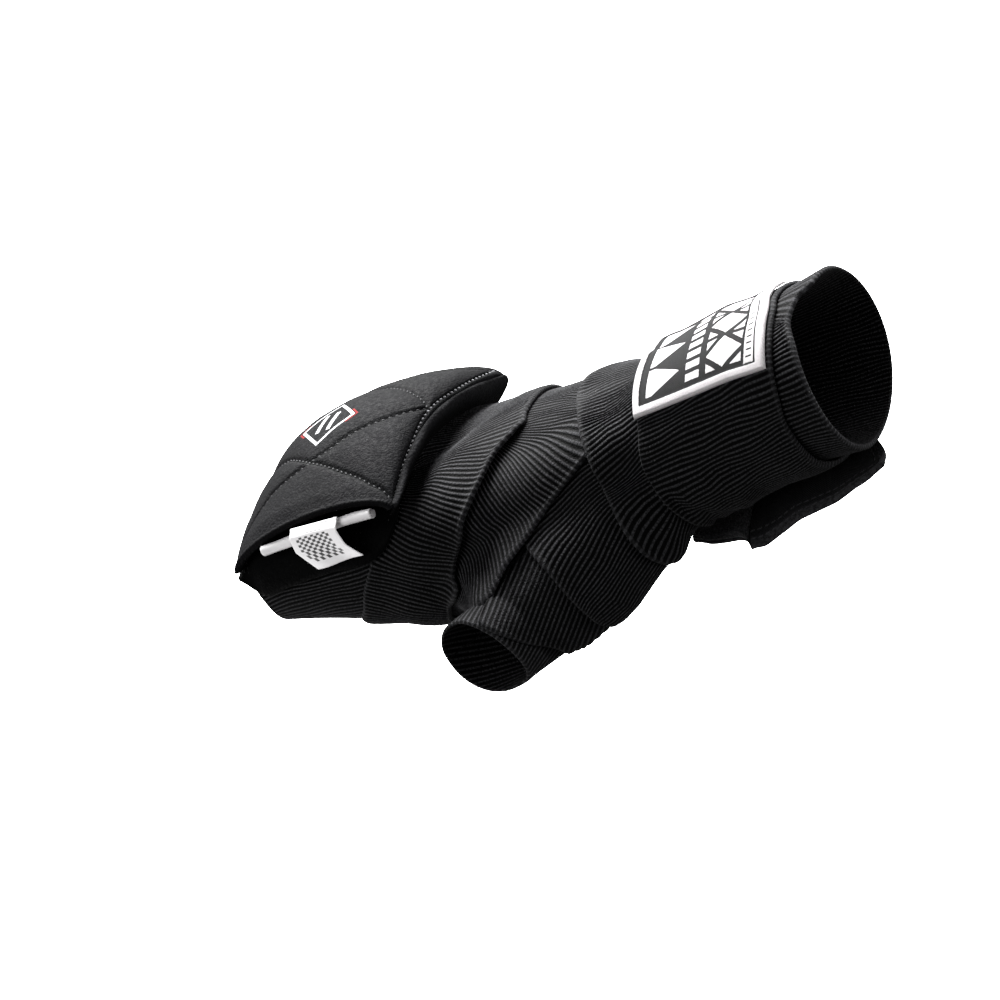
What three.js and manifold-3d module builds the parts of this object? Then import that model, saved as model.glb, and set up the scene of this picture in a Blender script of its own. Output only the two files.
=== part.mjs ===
// Padded knuckle wrap for a right hand: one elastic band wound round the palm, the thumb and the wrist,
// with a quilted pad over the knuckles and a sewn patch on the closing turn.
// Millimetres. +X runs up the arm, +Z is the back of the hand, -Y is the thumb side.
// The origin is the middle of the wrist, on the axis of the hollow.

import Module from "manifold-3d";
import * as THREE from "three";
import { mergeVertices } from "three/addons/utils/BufferGeometryUtils.js";

// Band
const bandThickness = 1.15;
const turnGap = 0.6;
const rampLength = 12;
const rampShelf = 2.5;
const rampTurn = 5;
const pressGap = 0.35;
const pressDepths = [1.5, 8];
const stepsAround = 40;
// Steps round the hand are closer together at these angles.
const stepCrowds = [
  { angle: 0, spread: 25, extra: 0.6 },
  { angle: 190, spread: 24, extra: 2 },
  { angle: 360, spread: 25, extra: 0.6 },
];

// Thumb loop
const loopWall = 1.1;
const loopFlare = 4;
const loopFlareEnd = 10;
const loopSteps = 26;
const loopCells = 5;
const loopRootRadius = 11.3;
const loopRimRadius = 13.2;
const loopClearance = 0.4;
const loopSearch = 22;

// Knuckle pad
const padWall = 2.4;
const padBaseWall = 1.1;
const padGap = 0.35;
const padReach = 43;
const rearWall = 1.6;
const rearWallTuck = 0.6;
const footClearance = 1.7;
const coreNear = -26;
const coreFar = 39;
const coreGap = 0.5;
const bindingRadius = 0.9;
const bindingSteps = 16;

// Label at the pad's near end
const rollRadius = 1.9;
const rollLength = 38;
const rollMiddle = new THREE.Vector3(-80, -46.6, 21.3);
const flapWall = 0.9;
const flapY = -49.8;

// Patch on the closing turn
const patchFrontX = 26.3;
const patchRearX = 72.9;
const patchNearAngle = 153;
const patchFarAngle = 58;
const patchWall = 1;
const patchGap = 0.5;

// Closing tab
const tabWall = 1.8;
const tabRootAngle = 305;
const tabEdgeAngle = 249;
const tabGap = 0.5;
const tabPatchWall = 1;

// Colours
const bandColour = 0x17171b;
const padColour = 0x2b2c31;
const coreColour = 0x0c0c0e;
const labelColour = 0xe9e9ea;
const patchColour = 0x1a1a1c;
const tabColour = 0x3a3b3f;

// Hollow of the wound band, one row for each section across the hand.
// thumb, outer, back and palm are the half sizes towards the four sides, rise lifts the section's middle.
const sections = [
  { x: -122, thumb: 41, outer: 38, back: 12, palm: 18, rise: 11, square: 2.3 },
  { x: -100, thumb: 41, outer: 39, back: 13.5, palm: 22.5, rise: 9, square: 2.4 },
  { x: -75, thumb: 40, outer: 39, back: 14.5, palm: 26.5, rise: 4, square: 2.4 },
  { x: -50, thumb: 36.5, outer: 36, back: 14, palm: 28, rise: 1, square: 2.4 },
  { x: -25, thumb: 32, outer: 32, back: 13.5, palm: 25, rise: 0, square: 2.3 },
  { x: 0, thumb: 27.5, outer: 28, back: 14.5, palm: 24, rise: 0, square: 2.2 },
  { x: 30, thumb: 26, outer: 27, back: 17, palm: 22, rise: 1, square: 2.1 },
  { x: 60, thumb: 27, outer: 28, back: 20, palm: 23, rise: 3, square: 2 },
  { x: 90, thumb: 29.5, outer: 30, back: 24, palm: 26, rise: 5, square: 2 },
];

// Swelling over the root of the thumb: balls joined by cones.
const thumbRoot = [
  { x: 12, y: -14, z: -10.5, radius: 14 },
  { x: -9.5, y: -31, z: -20.5, radius: 16.8 },
  { x: -29.5, y: -47.5, z: -24.8, radius: 13 },
];
const thumbBlend = 8;
const loopRoot = new THREE.Vector3(-28.8, -46.8, -25.2);
const loopAxis = new THREE.Vector3(-0.356, -0.932, 0.072).normalize();

// Both ends of the thumb loop along its axis, by the angle round it: 0 is the finger side, 90 the palm,
// 180 the wrist, 270 the back. skin is how far its root follows the thumb's root instead of the tube.
const loopRows = [
  { angle: 0, start: -9, end: 14.5, skin: 1 },
  { angle: 40, start: -5, end: 15, skin: 0.5 },
  { angle: 80, start: -4, end: 15, skin: 0 },
  { angle: 230, start: -3, end: 15, skin: 0 },
  { angle: 262, start: -6, end: 12.5, skin: 1 },
  { angle: 300, start: -9, end: 9.5, skin: 1 },
  { angle: 335, start: -9, end: 12, skin: 1 },
];

// Turns of the band, innermost first. A row gives both edges of a turn at one angle:
// 0 is the little finger side, 90 the back of the hand, 180 the thumb side, 270 the palm.
const turns = [
  {
    name: "thumb_turn",
    cells: 8,
    rows: [
      { angle: 0, front: -40, rear: 6 },
      { angle: 50, front: -38, rear: 6 },
      { angle: 90, front: -36, rear: 6 },
      { angle: 150, front: -43, rear: 0 },
      { angle: 170, front: -46, rear: 2 },
      { angle: 178, front: -38, rear: 3 },
      { angle: 184, front: -26, rear: 4 },
      { angle: 188, front: -20.5, rear: 6 },
      { angle: 192, front: -17, rear: 8 },
      { angle: 196, front: -15, rear: 10 },
      { angle: 202, front: -16, rear: 12 },
      { angle: 208, front: -18.5, rear: 12 },
      { angle: 216, front: -21, rear: 12 },
      { angle: 223, front: -25, rear: 12 },
      { angle: 230, front: -33, rear: 10 },
      { angle: 237, front: -44, rear: 8 },
      { angle: 246, front: -48, rear: 6 },
      { angle: 270, front: -50, rear: 4 },
      { angle: 320, front: -46, rear: 4 },
    ],
  },
  {
    name: "heel_turn",
    cells: 8,
    rows: [
      { angle: 0, front: -42, rear: 6 },
      { angle: 50, front: -54, rear: -6 },
      { angle: 90, front: -58, rear: -12 },
      { angle: 120, front: -50, rear: -4 },
      { angle: 150, front: -40, rear: 6 },
      { angle: 170, front: -30, rear: 16 },
      { angle: 180, front: -22, rear: 22 },
      { angle: 187, front: -16, rear: 28 },
      { angle: 192, front: -10, rear: 33 },
      { angle: 198, front: -7.5, rear: 36 },
      { angle: 206, front: -6, rear: 38 },
      { angle: 221, front: -7.4, rear: 38 },
      { angle: 235, front: -10, rear: 37 },
      { angle: 270, front: -14, rear: 34 },
      { angle: 320, front: -28, rear: 20 },
    ],
  },
  {
    name: "palm_turn_front",
    cells: 4,
    rows: [
      { angle: 0, front: -108, rear: -59 },
      { angle: 90, front: -109.5, rear: -61 },
      { angle: 160, front: -110.5, rear: -62 },
      { angle: 180, front: -109, rear: -62 },
      { angle: 200, front: -109.5, rear: -62 },
      { angle: 270, front: -108, rear: -58 },
    ],
  },
  {
    name: "cross_turn",
    cells: 8,
    rows: [
      { angle: 0, front: -27, rear: 23 },
      { angle: 50, front: -27, rear: 23 },
      { angle: 90, front: -31, rear: 19 },
      { angle: 120, front: -34, rear: 16 },
      { angle: 144, front: -37, rear: 11 },
      { angle: 151, front: -39, rear: 9.6 },
      { angle: 160, front: -42, rear: 6 },
      { angle: 172, front: -46, rear: -3.6 },
      { angle: 182, front: -51, rear: -14 },
      { angle: 186, front: -53, rear: -19.5 },
      { angle: 189, front: -54, rear: -25.5 },
      { angle: 191, front: -55, rear: -31 },
      { angle: 194, front: -57, rear: -38 },
      { angle: 197, front: -59, rear: -44 },
      { angle: 202, front: -60, rear: -48.5 },
      { angle: 212, front: -62, rear: -50 },
      { angle: 228, front: -63, rear: -48 },
      { angle: 245, front: -62, rear: -36 },
      { angle: 270, front: -56, rear: -14 },
      { angle: 320, front: -36, rear: 12 },
    ],
  },
  {
    name: "palm_turn_back",
    cells: 6,
    rows: [
      { angle: 0, front: -76, rear: -28 },
      { angle: 50, front: -73, rear: -22.7 },
      { angle: 90, front: -71, rear: -21.5 },
      { angle: 115, front: -67, rear: -21 },
      { angle: 144, front: -62, rear: -25 },
      { angle: 159, front: -59, rear: -31 },
      { angle: 166, front: -62.5, rear: -34 },
      { angle: 174, front: -68, rear: -37.5 },
      { angle: 180, front: -71.5, rear: -41 },
      { angle: 192, front: -76, rear: -48.3 },
      { angle: 199, front: -79, rear: -52 },
      { angle: 210, front: -81, rear: -58 },
      { angle: 225, front: -83, rear: -59 },
      { angle: 240, front: -84, rear: -56 },
      { angle: 270, front: -84, rear: -44 },
      { angle: 320, front: -80, rear: -34 },
    ],
  },
  {
    name: "wrist_turn_inner",
    cells: 4,
    rows: [
      { angle: 0, front: 36, rear: 84 },
      { angle: 90, front: 37, rear: 85 },
      { angle: 104, front: 32, rear: 81 },
      { angle: 124, front: 32, rear: 80 },
      { angle: 147, front: 33, rear: 82 },
      { angle: 182, front: 35, rear: 83.5 },
      { angle: 228, front: 35, rear: 83 },
      { angle: 270, front: 34, rear: 82 },
    ],
  },
  {
    name: "wrist_turn_outer",
    cells: 5,
    rows: [
      { angle: 0, front: 0, rear: 50 },
      { angle: 60, front: -2, rear: 48 },
      { angle: 89, front: -1.4, rear: 48.6 },
      { angle: 112, front: 2, rear: 52 },
      { angle: 143, front: 6, rear: 56 },
      { angle: 157, front: 7.3, rear: 57 },
      { angle: 172, front: 9, rear: 59 },
      { angle: 184, front: 10.5, rear: 60 },
      { angle: 203, front: 12.7, rear: 61 },
      { angle: 220, front: 13.4, rear: 62 },
      { angle: 270, front: 10, rear: 60 },
      { angle: 320, front: 5, rear: 55 },
    ],
  },
  {
    name: "closure_band",
    cells: 5,
    rows: [
      { angle: 0, front: 24, rear: 74 },
      { angle: 69, front: 20, rear: 68 },
      { angle: 90, front: 22, rear: 72 },
      { angle: 113, front: 25, rear: 75 },
      { angle: 151, front: 26, rear: 74.5 },
      { angle: 169, front: 25.3, rear: 74 },
      { angle: 182, front: 24, rear: 72.5 },
      { angle: 200, front: 23.2, rear: 72 },
      { angle: 228, front: 23, rear: 71 },
      { angle: 270, front: 23, rear: 72 },
      { angle: 320, front: 24, rear: 74 },
    ],
  },
];

// Quilted top panel of the pad, one row for each slice across the knuckles.
const padSlices = [
  { y: -43, frontX: -113.5, frontZ: 16.5, rearX: -52.5, rearZ: 19, bulge: 9, footX: -54.5 },
  { y: -22, frontX: -115, frontZ: 23, rearX: -51.5, rearZ: 26, bulge: 11, footX: -55 },
  { y: 0, frontX: -115, frontZ: 27, rearX: -50, rearZ: 28.5, bulge: 12, footX: -56 },
  { y: 22, frontX: -113, frontZ: 24, rearX: -49, rearZ: 25, bulge: 11.5, footX: -56.5 },
  { y: 43, frontX: -110, frontZ: 17, rearX: -48, rearZ: 18, bulge: 10, footX: -57 },
];

// Outline of the label's hanging end.
const flapCorners = [
  { x: -84.4, z: 25.6 },
  { x: -67.6, z: 25 },
  { x: -65.8, z: 10.9 },
  { x: -82.4, z: 11.4 },
  { x: -86.7, z: 17.9 },
];

// Closing tab, a row for each line from its root on the band to its free edge.
// lift is the height of the free edge over the turns below it.
const tabLines = [
  { edgeX: 21, rootX: 27, lift: 6 },
  { edgeX: 30, rootX: 34, lift: 12 },
  { edgeX: 44, rootX: 44, lift: 10.5 },
  { edgeX: 60, rootX: 56, lift: 9 },
  { edgeX: 74, rootX: 66, lift: 7 },
  { edgeX: 84, rootX: 72, lift: 4.5 },
];

const smooth = (t) => {
  const s = THREE.MathUtils.clamp(t, 0, 1);
  return s * s * (3 - 2 * s);
};
const lerp = THREE.MathUtils.lerp;
const radians = THREE.MathUtils.degToRad;

// Cubic between two values with given slopes, u from 0 to 1 over a step of length h.
function hermite(a, b, slopeA, slopeB, u, h) {
  const u2 = u * u;
  const u3 = u2 * u;
  return (2 * u3 - 3 * u2 + 1) * a + (u3 - 2 * u2 + u) * h * slopeA
    + (3 * u2 - 2 * u3) * b + (u3 - u2) * h * slopeB;
}

// Smooth value of one column of a table at a place along its key column.
function column(rows, key, name, at) {
  let i = rows.findIndex((row) => row[key] > at) - 1;
  if (i === -2) i = rows.length - 2;
  i = THREE.MathUtils.clamp(i, 0, rows.length - 2);
  const slope = (k) => {
    const before = rows[Math.max(k - 1, 0)];
    const after = rows[Math.min(k + 1, rows.length - 1)];
    return (after[name] - before[name]) / (after[key] - before[key]);
  };
  const h = rows[i + 1][key] - rows[i][key];
  const u = THREE.MathUtils.clamp((at - rows[i][key]) / h, 0, 1);
  return hermite(rows[i][name], rows[i + 1][name], slope(i), slope(i + 1), u, h);
}

// The same for a closed table over the angle, without overshoot.
function roundColumn(rows, name, angle) {
  const n = rows.length;
  const at = ((angle % 360) + 360) % 360;
  let i = n - 1;
  while (i > 0 && rows[i].angle > at) i -= 1;
  const value = (k) => rows[(k + n) % n][name];
  const place = (k) => rows[(k + n) % n].angle + 360 * Math.floor(k / n);
  const chord = (k) => (value(k + 1) - value(k)) / (place(k + 1) - place(k));
  const slope = (k) => {
    const a = chord(k - 1);
    const b = chord(k);
    return a * b > 0 ? (2 * a * b) / (a + b) : 0;
  };
  const h = place(i + 1) - place(i);
  return hermite(value(i), value(i + 1), slope(i), slope(i + 1), (at - place(i)) / h, h);
}

// Distance-like height over the hollow: zero on its surface, growing outwards.
function heightAt(p) {
  const sec = (name) => column(sections, "x", name, p.x);
  const dz = p.z - sec("rise");
  const square = sec("square");
  const across = Math.abs(p.y) / (p.y < 0 ? sec("thumb") : sec("outer"));
  const up = Math.abs(dz) / (dz > 0 ? sec("back") : sec("palm"));
  const rho = Math.max((across ** square + up ** square) ** (1 / square), 1e-3);
  const hand = Math.hypot(p.y, dz) * (1 - 1 / rho);
  let thumb = Infinity;
  for (let i = 0; i < thumbRoot.length - 1; i++) {
    const a = thumbRoot[i];
    const b = thumbRoot[i + 1];
    const ab = new THREE.Vector3().subVectors(b, a);
    const t = THREE.MathUtils.clamp(new THREE.Vector3().subVectors(p, a).dot(ab) / ab.lengthSq(), 0, 1);
    const middle = new THREE.Vector3(a.x, a.y, a.z).addScaledVector(ab, t);
    thumb = Math.min(thumb, middle.distanceTo(p) - lerp(a.radius, b.radius, t));
  }
  const mix = THREE.MathUtils.clamp(0.5 + (thumb - hand) / (2 * thumbBlend), 0, 1);
  return lerp(thumb, hand, mix) - thumbBlend * mix * (1 - mix);
}

// Point at a station along the arm and an angle round it, at a height over the hollow.
function onHollow(x, angle, height) {
  const rise = column(sections, "x", "rise", x);
  const cos = Math.cos(radians(angle));
  const sin = Math.sin(radians(angle));
  const p = new THREE.Vector3();
  const place = (r) => p.set(x, r * cos, rise + r * sin);
  let r = 80;
  for (let k = 0; k < 80; k++) {
    const over = heightAt(place(r)) - height;
    if (over < 1e-4) break;
    r -= 0.7 * over;
  }
  return place(r).clone();
}

// How much of a turn lies under a point: 1 over the turn, falling off beside it and a little round the hand.
function cover(turn, x, angle) {
  const near = [angle - rampTurn, angle, angle + rampTurn];
  const front = Math.min(...near.map((at) => roundColumn(turn.rows, "front", at)));
  const rear = Math.max(...near.map((at) => roundColumn(turn.rows, "rear", at)));
  return smooth((x - front + rampShelf + rampLength) / rampLength)
    * smooth((rear - x + rampShelf + rampLength) / rampLength);
}

// Height that the first turns reach at a place.
function stack(count, x, angle) {
  return turns.slice(0, count)
    .reduce((sum, turn) => sum + (bandThickness + turnGap) * cover(turn, x, angle), 0);
}

// Closed solid between two grids of points, each called with u and v from 0 to 1.
// A round wall closes on itself in u, an open one gets end faces.
function wall(outer, inner, along, across, round = false) {
  const points = [];
  const faces = [];
  const rows = round ? along : along + 1;
  for (const side of [outer, inner]) {
    for (let i = 0; i < rows; i++) {
      for (let j = 0; j <= across; j++) points.push(side(i / along, j / across));
    }
  }
  const id = (side, i, j) => (side * rows + (i % rows)) * (across + 1) + j;
  const quad = (a, b, c, d) => faces.push(a, b, c, a, c, d);
  for (let i = 0; i < along; i++) {
    for (let j = 0; j < across; j++) {
      quad(id(0, i, j), id(0, i + 1, j), id(0, i + 1, j + 1), id(0, i, j + 1));
      quad(id(1, i, j), id(1, i, j + 1), id(1, i + 1, j + 1), id(1, i + 1, j));
    }
    quad(id(0, i, 0), id(1, i, 0), id(1, i + 1, 0), id(0, i + 1, 0));
    quad(id(0, i, across), id(0, i + 1, across), id(1, i + 1, across), id(1, i, across));
  }
  if (!round) {
    for (let j = 0; j < across; j++) {
      quad(id(0, 0, j), id(0, 0, j + 1), id(1, 0, j + 1), id(1, 0, j));
      quad(id(0, along, j), id(1, along, j), id(1, along, j + 1), id(0, along, j + 1));
    }
  }
  return facingOut(points, faces);
}

// Geometry from points and triangles, turned so that its faces point out.
function facingOut(points, faces) {
  let volume = 0;
  for (let k = 0; k < faces.length; k += 3) {
    const [a, b, c] = [points[faces[k]], points[faces[k + 1]], points[faces[k + 2]]];
    volume += a.dot(new THREE.Vector3().crossVectors(b, c));
  }
  const index = [];
  for (let k = 0; k < faces.length; k += 3) {
    if (volume > 0) index.push(faces[k], faces[k + 1], faces[k + 2]);
    else index.push(faces[k], faces[k + 2], faces[k + 1]);
  }
  const geometry = new THREE.BufferGeometry().setFromPoints(points);
  geometry.setIndex(index);
  geometry.computeVertexNormals();
  return geometry;
}

const wasm = await Module();
wasm.setup();

function toSolid(geometry) {
  geometry.deleteAttribute("normal");
  const merged = mergeVertices(geometry);
  const vertProperties = merged.attributes.position.array;
  const triVerts = new Uint32Array(merged.index.array);
  return new wasm.Manifold(new wasm.Mesh({ numProp: 3, vertProperties, triVerts }));
}

function fromSolid(solid) {
  const { vertProperties, triVerts } = solid.getMesh();
  const geometry = new THREE.BufferGeometry();
  geometry.setAttribute("position", new THREE.BufferAttribute(vertProperties, 3));
  geometry.setIndex(new THREE.BufferAttribute(triVerts, 1));
  geometry.computeVertexNormals();
  return geometry;
}

const wrap = new THREE.Group();
wrap.name = "knuckle_wrap";

function addPiece(name, geometry, color, roughness) {
  const material = new THREE.MeshStandardMaterial({ color, roughness, metalness: 0 });
  const mesh = new THREE.Mesh(geometry, material);
  mesh.name = name;
  wrap.add(mesh);
}

// Angles of the steps round the hand.
const density = (angle) => stepCrowds.reduce(
  (sum, crowd) => sum + crowd.extra * Math.exp(-(((angle - crowd.angle) / crowd.spread) ** 2)),
  1,
);
const stepAngles = (() => {
  const sums = [0];
  for (let angle = 0; angle < 360; angle++) sums.push(sums[angle] + density(angle + 0.5));
  const angles = [];
  for (let k = 0; k < stepsAround; k++) {
    const wanted = (k / stepsAround) * sums[360];
    const after = sums.findIndex((sum) => sum > wanted);
    angles.push(after - 1 + (wanted - sums[after - 1]) / (sums[after] - sums[after - 1]));
  }
  return angles;
})();

// Ring of a turn between two heights over the turns below it, its edges moved out by a margin.
function turnRing(count, low, high, margin) {
  const turn = turns[count];
  const face = (lift) => (u, v) => {
    const angle = stepAngles[Math.round(u * stepsAround)];
    const front = roundColumn(turn.rows, "front", angle) - margin;
    const rear = roundColumn(turn.rows, "rear", angle) + margin;
    const x = lerp(front, rear, v);
    return onHollow(x, angle, stack(count, x, angle) + lift);
  };
  return wall(face(high), face(low), stepsAround, turn.cells, true);
}

// Room that a turn takes with its gap, which what lies under it is cut back from.
function pressCutter(name) {
  const count = turns.findIndex((turn) => turn.name === name);
  const [near, far] = pressDepths.map((depth) => toSolid(turnRing(count, -pressGap, depth, pressGap)));
  return near.add(far);
}

// Sleeve round the thumb, a little wider at its rim. Its root lies under the turns round it.
function thumbLoop() {
  const side = new THREE.Vector3().crossVectors(loopAxis, new THREE.Vector3(0, 0, 1)).normalize();
  const palm = new THREE.Vector3().crossVectors(loopAxis, side);
  const face = (inset) => (u, v) => {
    const angle = 360 * u;
    const along = lerp(roundColumn(loopRows, "start", angle), roundColumn(loopRows, "end", angle), v);
    const out = side.clone().multiplyScalar(Math.cos(radians(angle)));
    out.addScaledVector(palm, Math.sin(radians(angle)));
    const middle = loopRoot.clone().addScaledVector(loopAxis, along);
    const at = (radius) => middle.clone().addScaledVector(out, radius);
    let skin = loopSearch;
    while (skin > loopRootRadius && heightAt(at(skin)) > loopClearance) skin -= 0.1;
    const root = lerp(loopRootRadius, skin + loopWall, roundColumn(loopRows, "skin", angle));
    const flare = smooth((along - loopFlare) / (loopFlareEnd - loopFlare));
    return at(lerp(root, loopRimRadius, flare) - inset);
  };
  const whole = toSolid(wall(face(0), face(loopWall), loopSteps, loopCells, true));
  const over = ["thumb_turn", "heel_turn", "cross_turn"];
  const cut = over.reduce((body, name) => body.subtract(pressCutter(name)), whole);
  return fromSolid(cut.decompose().reduce((a, b) => (b.volume() > a.volume() ? b : a)));
}

const slice = (name, y) => column(padSlices, "y", name, y);

// Point on the pad's outer skin: s runs from its front edge to the rear seam.
function padSkin(y, s, inset) {
  const at = (t) => {
    const frontX = slice("frontX", y);
    const arch = Math.max(4 * t * (1 - t), 0) ** 0.5;
    return new THREE.Vector2(
      lerp(frontX, slice("rearX", y), t),
      lerp(slice("frontZ", y), slice("rearZ", y), t) + slice("bulge", y) * arch,
    );
  };
  const p = at(s);
  const run = at(Math.min(s + 0.01, 1)).sub(at(Math.max(s - 0.01, 0))).normalize();
  return new THREE.Vector3(p.x + run.y * inset, y, p.y - run.x * inset);
}

// Share of the way along the skin, with short steps at both ends where it turns down.
const skinStep = (v) => 0.5 - 0.5 * Math.cos(Math.PI * v);

function padTopPanel() {
  const face = (inset) => (u, v) => padSkin(lerp(-padReach, padReach, u), skinStep(v), inset);
  return wall(face(0), face(padWall), 12, 10);
}

const allTurns = turns.length;

// Point over the turns at an angle, between the pad's front edge and the foot of its rear wall.
function padFloor(angle, s, lift) {
  const y = onHollow(-80, angle, 3).y;
  const front = slice("frontX", THREE.MathUtils.clamp(y, -padReach, padReach)) + 3.4;
  const x = lerp(front, slice("footX", y) - 2.8, s);
  return onHollow(x, angle, stack(allTurns, x, angle) + lift);
}

function padBase() {
  const face = (lift) => (u, v) => padFloor(lerp(164, 20, u), v, lift);
  return wall(face(padGap + padBaseWall), face(padGap), 14, 6);
}

// Height over the turns at a place across the knuckles, found by halving the range of angles.
function floorHeight(x, y, lift) {
  let low = 10;
  let high = 170;
  for (let k = 0; k < 20; k++) {
    const angle = (low + high) / 2;
    if (onHollow(x, angle, stack(allTurns, x, angle) + lift).y > y) low = angle;
    else high = angle;
  }
  return onHollow(x, low, stack(allTurns, x, low) + lift).z;
}

function padRearWall() {
  const face = (inset) => (u, v) => {
    const y = lerp(-padReach + 1, padReach, u);
    const x = lerp(slice("rearX", y), slice("footX", y), v) - rearWallTuck - inset;
    const rim = padSkin(y, 1, 0).z - padGap - rearWallTuck;
    const foot = Math.min(floorHeight(slice("footX", y), y, footClearance), rim - 4);
    return new THREE.Vector3(x, y, lerp(rim, foot, v));
  };
  return wall(face(0), face(rearWall), 12, 2);
}

// Filling of the pad, set back from its open near end.
function padCore() {
  const top = (u, v) => padSkin(lerp(coreNear, coreFar, u), lerp(0.05, 0.8, v), padWall + coreGap);
  const bottom = (u, v) => {
    const p = top(u, v);
    const floor = floorHeight(p.x, p.y, 2 * padGap + padBaseWall + coreGap);
    return p.setZ(Math.min(floor, p.z - 1));
  };
  return wall(top, bottom, 8, 5);
}

// Binding round the open near end of the top panel.
function padBinding() {
  const rim = [];
  for (let k = 0; k <= bindingSteps; k++) {
    rim.push(padSkin(-padReach, skinStep(k / bindingSteps), padWall / 2).setY(-padReach - bindingRadius - padGap));
  }
  const round = new THREE.Shape().absarc(0, 0, bindingRadius, 0, 2 * Math.PI);
  const extrudePath = new THREE.CatmullRomCurve3(rim);
  return new THREE.ExtrudeGeometry(round, { steps: bindingSteps, curveSegments: 4, extrudePath });
}

function labelRoll() {
  const geometry = new THREE.CylinderGeometry(rollRadius, rollRadius, rollLength, 12);
  return geometry.rotateZ(Math.PI / 2).translate(rollMiddle.x, rollMiddle.y, rollMiddle.z);
}

function labelFlap() {
  const outline = new THREE.Shape(flapCorners.map((corner) => new THREE.Vector2(corner.x, corner.z)));
  const geometry = new THREE.ExtrudeGeometry(outline, { depth: flapWall, bevelEnabled: false });
  return geometry.rotateX(Math.PI / 2).translate(0, flapY + flapWall, 0);
}

// Top of the closing turn and of what shows beside it.
const topOfTurns = (x, angle) => stack(allTurns, x, angle) - turnGap;

function wristPatch() {
  const face = (lift) => (u, v) => {
    const x = lerp(patchFrontX, patchRearX, v);
    const angle = lerp(patchNearAngle, patchFarAngle, u);
    return onHollow(x, angle, topOfTurns(x, angle) + patchGap + lift);
  };
  return wall(face(patchWall), face(0), 10, 4);
}

// Point on the tab's inner face: u runs along its free edge, w from its root to that edge.
function tabFace(u, w, lift) {
  const edgeX = lerp(tabLines[0].edgeX, tabLines.at(-1).edgeX, u);
  const rootX = column(tabLines, "edgeX", "rootX", edgeX);
  const x = lerp(rootX, edgeX, smooth(w));
  const angle = lerp(tabRootAngle, tabEdgeAngle, w);
  const rise = column(tabLines, "edgeX", "lift", edgeX) * w * w;
  return onHollow(x, angle, topOfTurns(x, angle) + tabGap + rise + lift);
}

function closureTab() {
  const face = (lift) => (u, v) => tabFace(u, v, lift);
  return wall(face(tabWall), face(0), 8, 6);
}

// Loop patch on the inner face of the tab's front end.
function tabLoopPatch() {
  const face = (lift) => (u, v) => tabFace(lerp(0, 0.25, u), lerp(0.5, 1, v), lift);
  return wall(face(-tabGap), face(-tabGap - tabPatchWall), 2, 3);
}

turns.forEach((turn, count) => addPiece(turn.name, turnRing(count, 0, bandThickness, 0), bandColour, 0.9));
addPiece("thumb_loop", thumbLoop(), bandColour, 0.9);
addPiece("pad_top_panel", padTopPanel(), padColour, 0.75);
addPiece("pad_base", padBase(), padColour, 0.85);
addPiece("pad_rear_wall", padRearWall(), padColour, 0.8);
addPiece("pad_core", padCore(), coreColour, 0.95);
addPiece("pad_binding", padBinding(), padColour, 0.8);
addPiece("label_roll", labelRoll(), labelColour, 0.7);
addPiece("label_flap", labelFlap(), labelColour, 0.7);
addPiece("wrist_patch", wristPatch(), patchColour, 0.85);
addPiece("closure_tab", closureTab(), tabColour, 0.8);
addPiece("tab_loop_patch", tabLoopPatch(), coreColour, 0.95);

export default wrap;
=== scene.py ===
import math

import bpy
import numpy as np
from mathutils import Matrix, Vector


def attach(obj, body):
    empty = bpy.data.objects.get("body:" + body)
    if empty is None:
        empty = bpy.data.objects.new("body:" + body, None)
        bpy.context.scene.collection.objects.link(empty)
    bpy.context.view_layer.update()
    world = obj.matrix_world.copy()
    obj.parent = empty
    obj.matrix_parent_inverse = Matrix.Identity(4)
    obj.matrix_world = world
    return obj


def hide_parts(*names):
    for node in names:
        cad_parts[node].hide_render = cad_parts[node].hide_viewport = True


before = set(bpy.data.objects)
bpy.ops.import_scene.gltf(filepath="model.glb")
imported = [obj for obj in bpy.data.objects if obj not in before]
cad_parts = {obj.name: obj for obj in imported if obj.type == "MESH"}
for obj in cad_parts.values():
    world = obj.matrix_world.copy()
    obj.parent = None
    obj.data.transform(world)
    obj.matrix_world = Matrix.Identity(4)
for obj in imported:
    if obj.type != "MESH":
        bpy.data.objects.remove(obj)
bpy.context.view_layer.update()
mm = 0.001
chance = np.random.default_rng(11)
print("frame loaded:", len(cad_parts), "solids")

# Sizes are in millimetres unless a note says otherwise, and turn to metres where a mesh is made.
# +X runs from the pad to the opening at the wrist, +Z is the pad's side, -Y is the thumb loop's side.

camera = {
    "turn": 33, "rise": 18, "roll": 30,     # degrees
    "from": (-25, 0, 0), "distance": 1000,
    "aim": (-38.5, -9.2, -1.0),             # point in the middle of the picture
    "lens": 118.8,
}


def makeCamera(c):
    turn, rise, roll = (math.radians(c[key]) for key in ("turn", "rise", "roll"))
    away = Vector((math.sin(turn) * math.cos(rise), -math.cos(turn) * math.cos(rise), math.sin(rise)))
    place = Vector(c["from"]) + away * c["distance"]
    back = (place - Vector(c["aim"])).normalized()
    level = Vector((0, 0, 1)).cross(back).normalized()
    up = back.cross(level)
    right = math.cos(roll) * level - math.sin(roll) * up
    top = math.sin(roll) * level + math.cos(roll) * up
    data = bpy.data.cameras.new("camera")
    data.lens = c["lens"]
    data.clip_start, data.clip_end = 0.05, 50
    made = bpy.data.objects.new("camera", data)
    made.matrix_world = Matrix.Translation(place * mm) @ Matrix((right, top, back)).transposed().to_4x4()
    bpy.context.scene.collection.objects.link(made)
    bpy.context.scene.camera = made


makeCamera(camera)
print("camera placed")


# The hollow that the band is wound on

def table(names, *rows):
    return dict(zip(names.split(), np.array(rows, float).T))


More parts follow.
